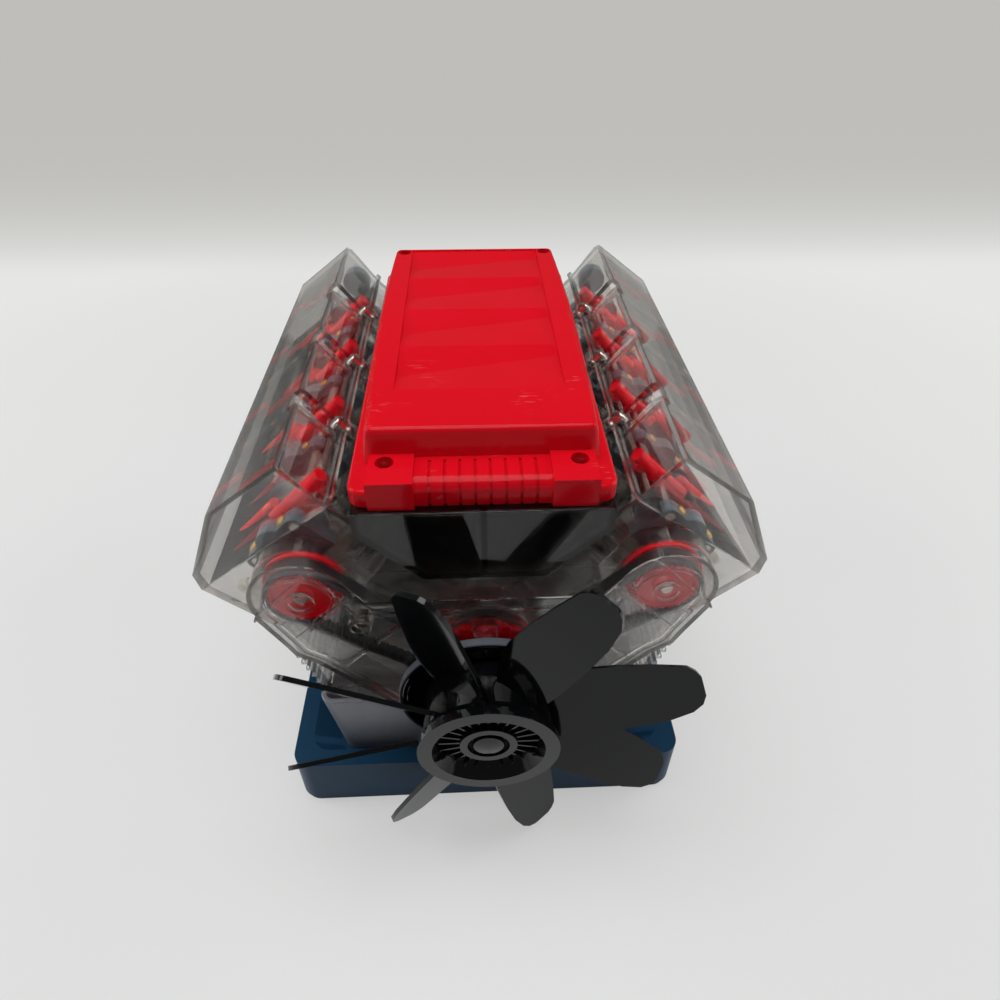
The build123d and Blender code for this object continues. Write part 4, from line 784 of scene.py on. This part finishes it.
def backdrop(look):
    profile = [(look["near"], 0.0), (look["wallY"], 0.0)]
    for i in range(1, 13):
        turn = math.radians(90 * i / 12)
        profile.append((look["wallY"] + look["curve"] * math.sin(turn), look["curve"] * (1 - math.cos(turn))))
    profile.append((profile[-1][0], look["height"]))
    points = [(side * look["halfWidth"] * mm, y * mm, z * mm) for y, z in profile for side in (-1, 1)]
    faces = [(2 * i, 2 * i + 1, 2 * i + 3, 2 * i + 2) for i in range(len(profile) - 1)]
    mesh = bpy.data.meshes.new("studio_sweep")
    mesh.from_pydata(points, [], faces)
    for face in mesh.polygons:
        face.use_smooth = True
    material, tree, place, out = startMaterial("studio_paper")
    grain = addNode(tree, "ShaderNodeTexNoise", {"Vector": place, "Scale": 3.0, "Detail": 2.0})
    sheen = addNode(tree, "ShaderNodeMapRange", {"Value": grain.outputs["Fac"], "To Min": 0.42, "To Max": 0.52})
    paper = addNode(tree, "ShaderNodeBsdfPrincipled", {
        "Base Color": linear(look["floor"]), "Roughness": sheen.outputs["Result"],
    })
    axes = addNode(tree, "ShaderNodeSeparateXYZ", {"Vector": place}).outputs
    rise = addNode(tree, "ShaderNodeMapRange", {
        "Value": axes["Y"], "From Min": (look["wallY"] - 60) * mm, "From Max": (look["wallY"] + look["curve"]) * mm,
    }, interpolation_type="SMOOTHSTEP")
    # The paper's glow turns darker up the curve: painted shade where less light reaches the upright wall
    tone = addNode(tree, "ShaderNodeMix", {
        "Factor": rise.outputs["Result"], "A": linear(look["tableTone"]), "B": linear(look["wallToneWithPaintedShade"]),
    }, data_type="RGBA")
    plain = addNode(tree, "ShaderNodeEmission", {"Color": tone.outputs["Result"]})
    reach = addNode(tree, "ShaderNodeVectorMath", {0: place}, operation="LENGTH")
    away = addNode(tree, "ShaderNodeMapRange", {
        "Value": reach.outputs["Value"], "From Min": 0.30, "From Max": 0.75, "To Min": look["nearShare"], "To Max": 1.0,
    })
    direct = combine(tree, "MULTIPLY", away.outputs["Result"], seenRays(tree, look["gloss"]))
    ray = addNode(tree, "ShaderNodeLightPath").outputs
    mirrored = combine(tree, "SUBTRACT", ray["Is Glossy Ray"], ray["Is Transmission Ray"])
    farWall = combine(tree, "MULTIPLY", mirrored, rise.outputs["Result"], use_clamp=True)
    bright = addNode(tree, "ShaderNodeMapRange", {"Value": farWall, "To Min": 1.0, "To Max": look["wallGloss"]})
    tree.links.new(bright.outputs["Result"], plain.inputs["Strength"])
    beyond = combine(tree, "MAXIMUM", farWall, ray["Is Transmission Ray"])
    share = combine(tree, "MAXIMUM", direct, beyond)
    both = addNode(tree, "ShaderNodeMixShader", {
        0: share, 1: paper.outputs["BSDF"], 2: plain.outputs["Emission"],
    })
    tree.links.new(both.outputs["Shader"], out.inputs["Surface"])
    mesh.materials.append(material)
    sweep = newPiece("studio_sweep", mesh)


def room(look):
    world = bpy.data.worlds.new("studio")
    bpy.context.scene.world = world
    world.use_nodes = True
    tree = world.node_tree
    tree.nodes.clear()
    way = addNode(tree, "ShaderNodeTexCoord").outputs["Generated"]
    up = addNode(tree, "ShaderNodeSeparateXYZ", {"Vector": way}).outputs["Z"]
    tent = addNode(tree, "ShaderNodeMapRange", {
        "Value": up, "From Min": 0.14, "From Max": 0.22, "To Min": look["around"], "To Max": look["overhead"],
    })
    ray = addNode(tree, "ShaderNodeLightPath").outputs
    straight = combine(tree, "MAXIMUM", ray["Is Transmission Ray"], ray["Is Camera Ray"])
    through = addNode(tree, "ShaderNodeMix", {
        "Factor": straight, "A": tent.outputs["Result"], "B": look["around"],
    })
    level = addNode(tree, "ShaderNodeMix", {
        "Factor": seenRays(tree, 1.0), "A": look["dim"], "B": through.outputs["Result"],
    })
    glow = addNode(tree, "ShaderNodeBackground", {
        "Color": linear(look["worldColour"]), "Strength": level.outputs["Result"],
    })
    addNode(tree, "ShaderNodeOutputWorld", {"Surface": glow.outputs["Background"]})


backdrop(studio)
room(studio)

lamps = [  # place, aim, width, height in mm, watts
    ((-60, -60, 1150), (0, 0, 60), 900, 700, 7.0),
    ((1050, 150, 700), (0, 0, 80), 600, 700, 5.0),
    ((-1050, 100, 700), (0, 0, 80), 600, 700, 5.0),
]
for number, (place, aim, width, height, watts) in enumerate(lamps):
    light = bpy.data.lights.new(f"softbox_{number}", "AREA")
    light.shape = "RECTANGLE"
    light.size, light.size_y = width * mm, height * mm
    light.energy = watts
    lamp = bpy.data.objects.new(f"softbox_{number}", light)
    lamp.location = Vector(place) * mm
    lamp.rotation_mode = "QUATERNION"
    lamp.rotation_quaternion = (Vector(place) - Vector(aim)).to_track_quat("Z", "Y")
    bpy.context.scene.collection.objects.link(lamp)

shot = {"place": (-3.2, -262.3, 352.3), "pitch": 41.25, "yaw": 2.88, "roll": 0.46, "focal": 0.6682}
lens = bpy.data.cameras.new("camera")
lens.sensor_width = 36.0
lens.lens = 36.0 * shot["focal"]
lens.clip_start, lens.clip_end = 0.01, 20.0
camera = bpy.data.objects.new("camera", lens)
turn = (
    Matrix.Rotation(math.radians(-shot["yaw"]), 4, "Z")
    @ Matrix.Rotation(math.radians(90 - shot["pitch"]), 4, "X")
    @ Matrix.Rotation(math.radians(shot["roll"]), 4, "Z")
)
camera.matrix_world = Matrix.Translation(Vector(shot["place"]) * mm) @ turn
bpy.context.scene.collection.objects.link(camera)
bpy.context.scene.camera = camera
bpy.context.scene.view_settings.view_transform = "Standard"
cycles = bpy.context.scene.cycles
cycles.max_bounces = cycles.transmission_bounces = 32  # light passes many clear walls
cycles.transparent_max_bounces = 32
print("studio set")
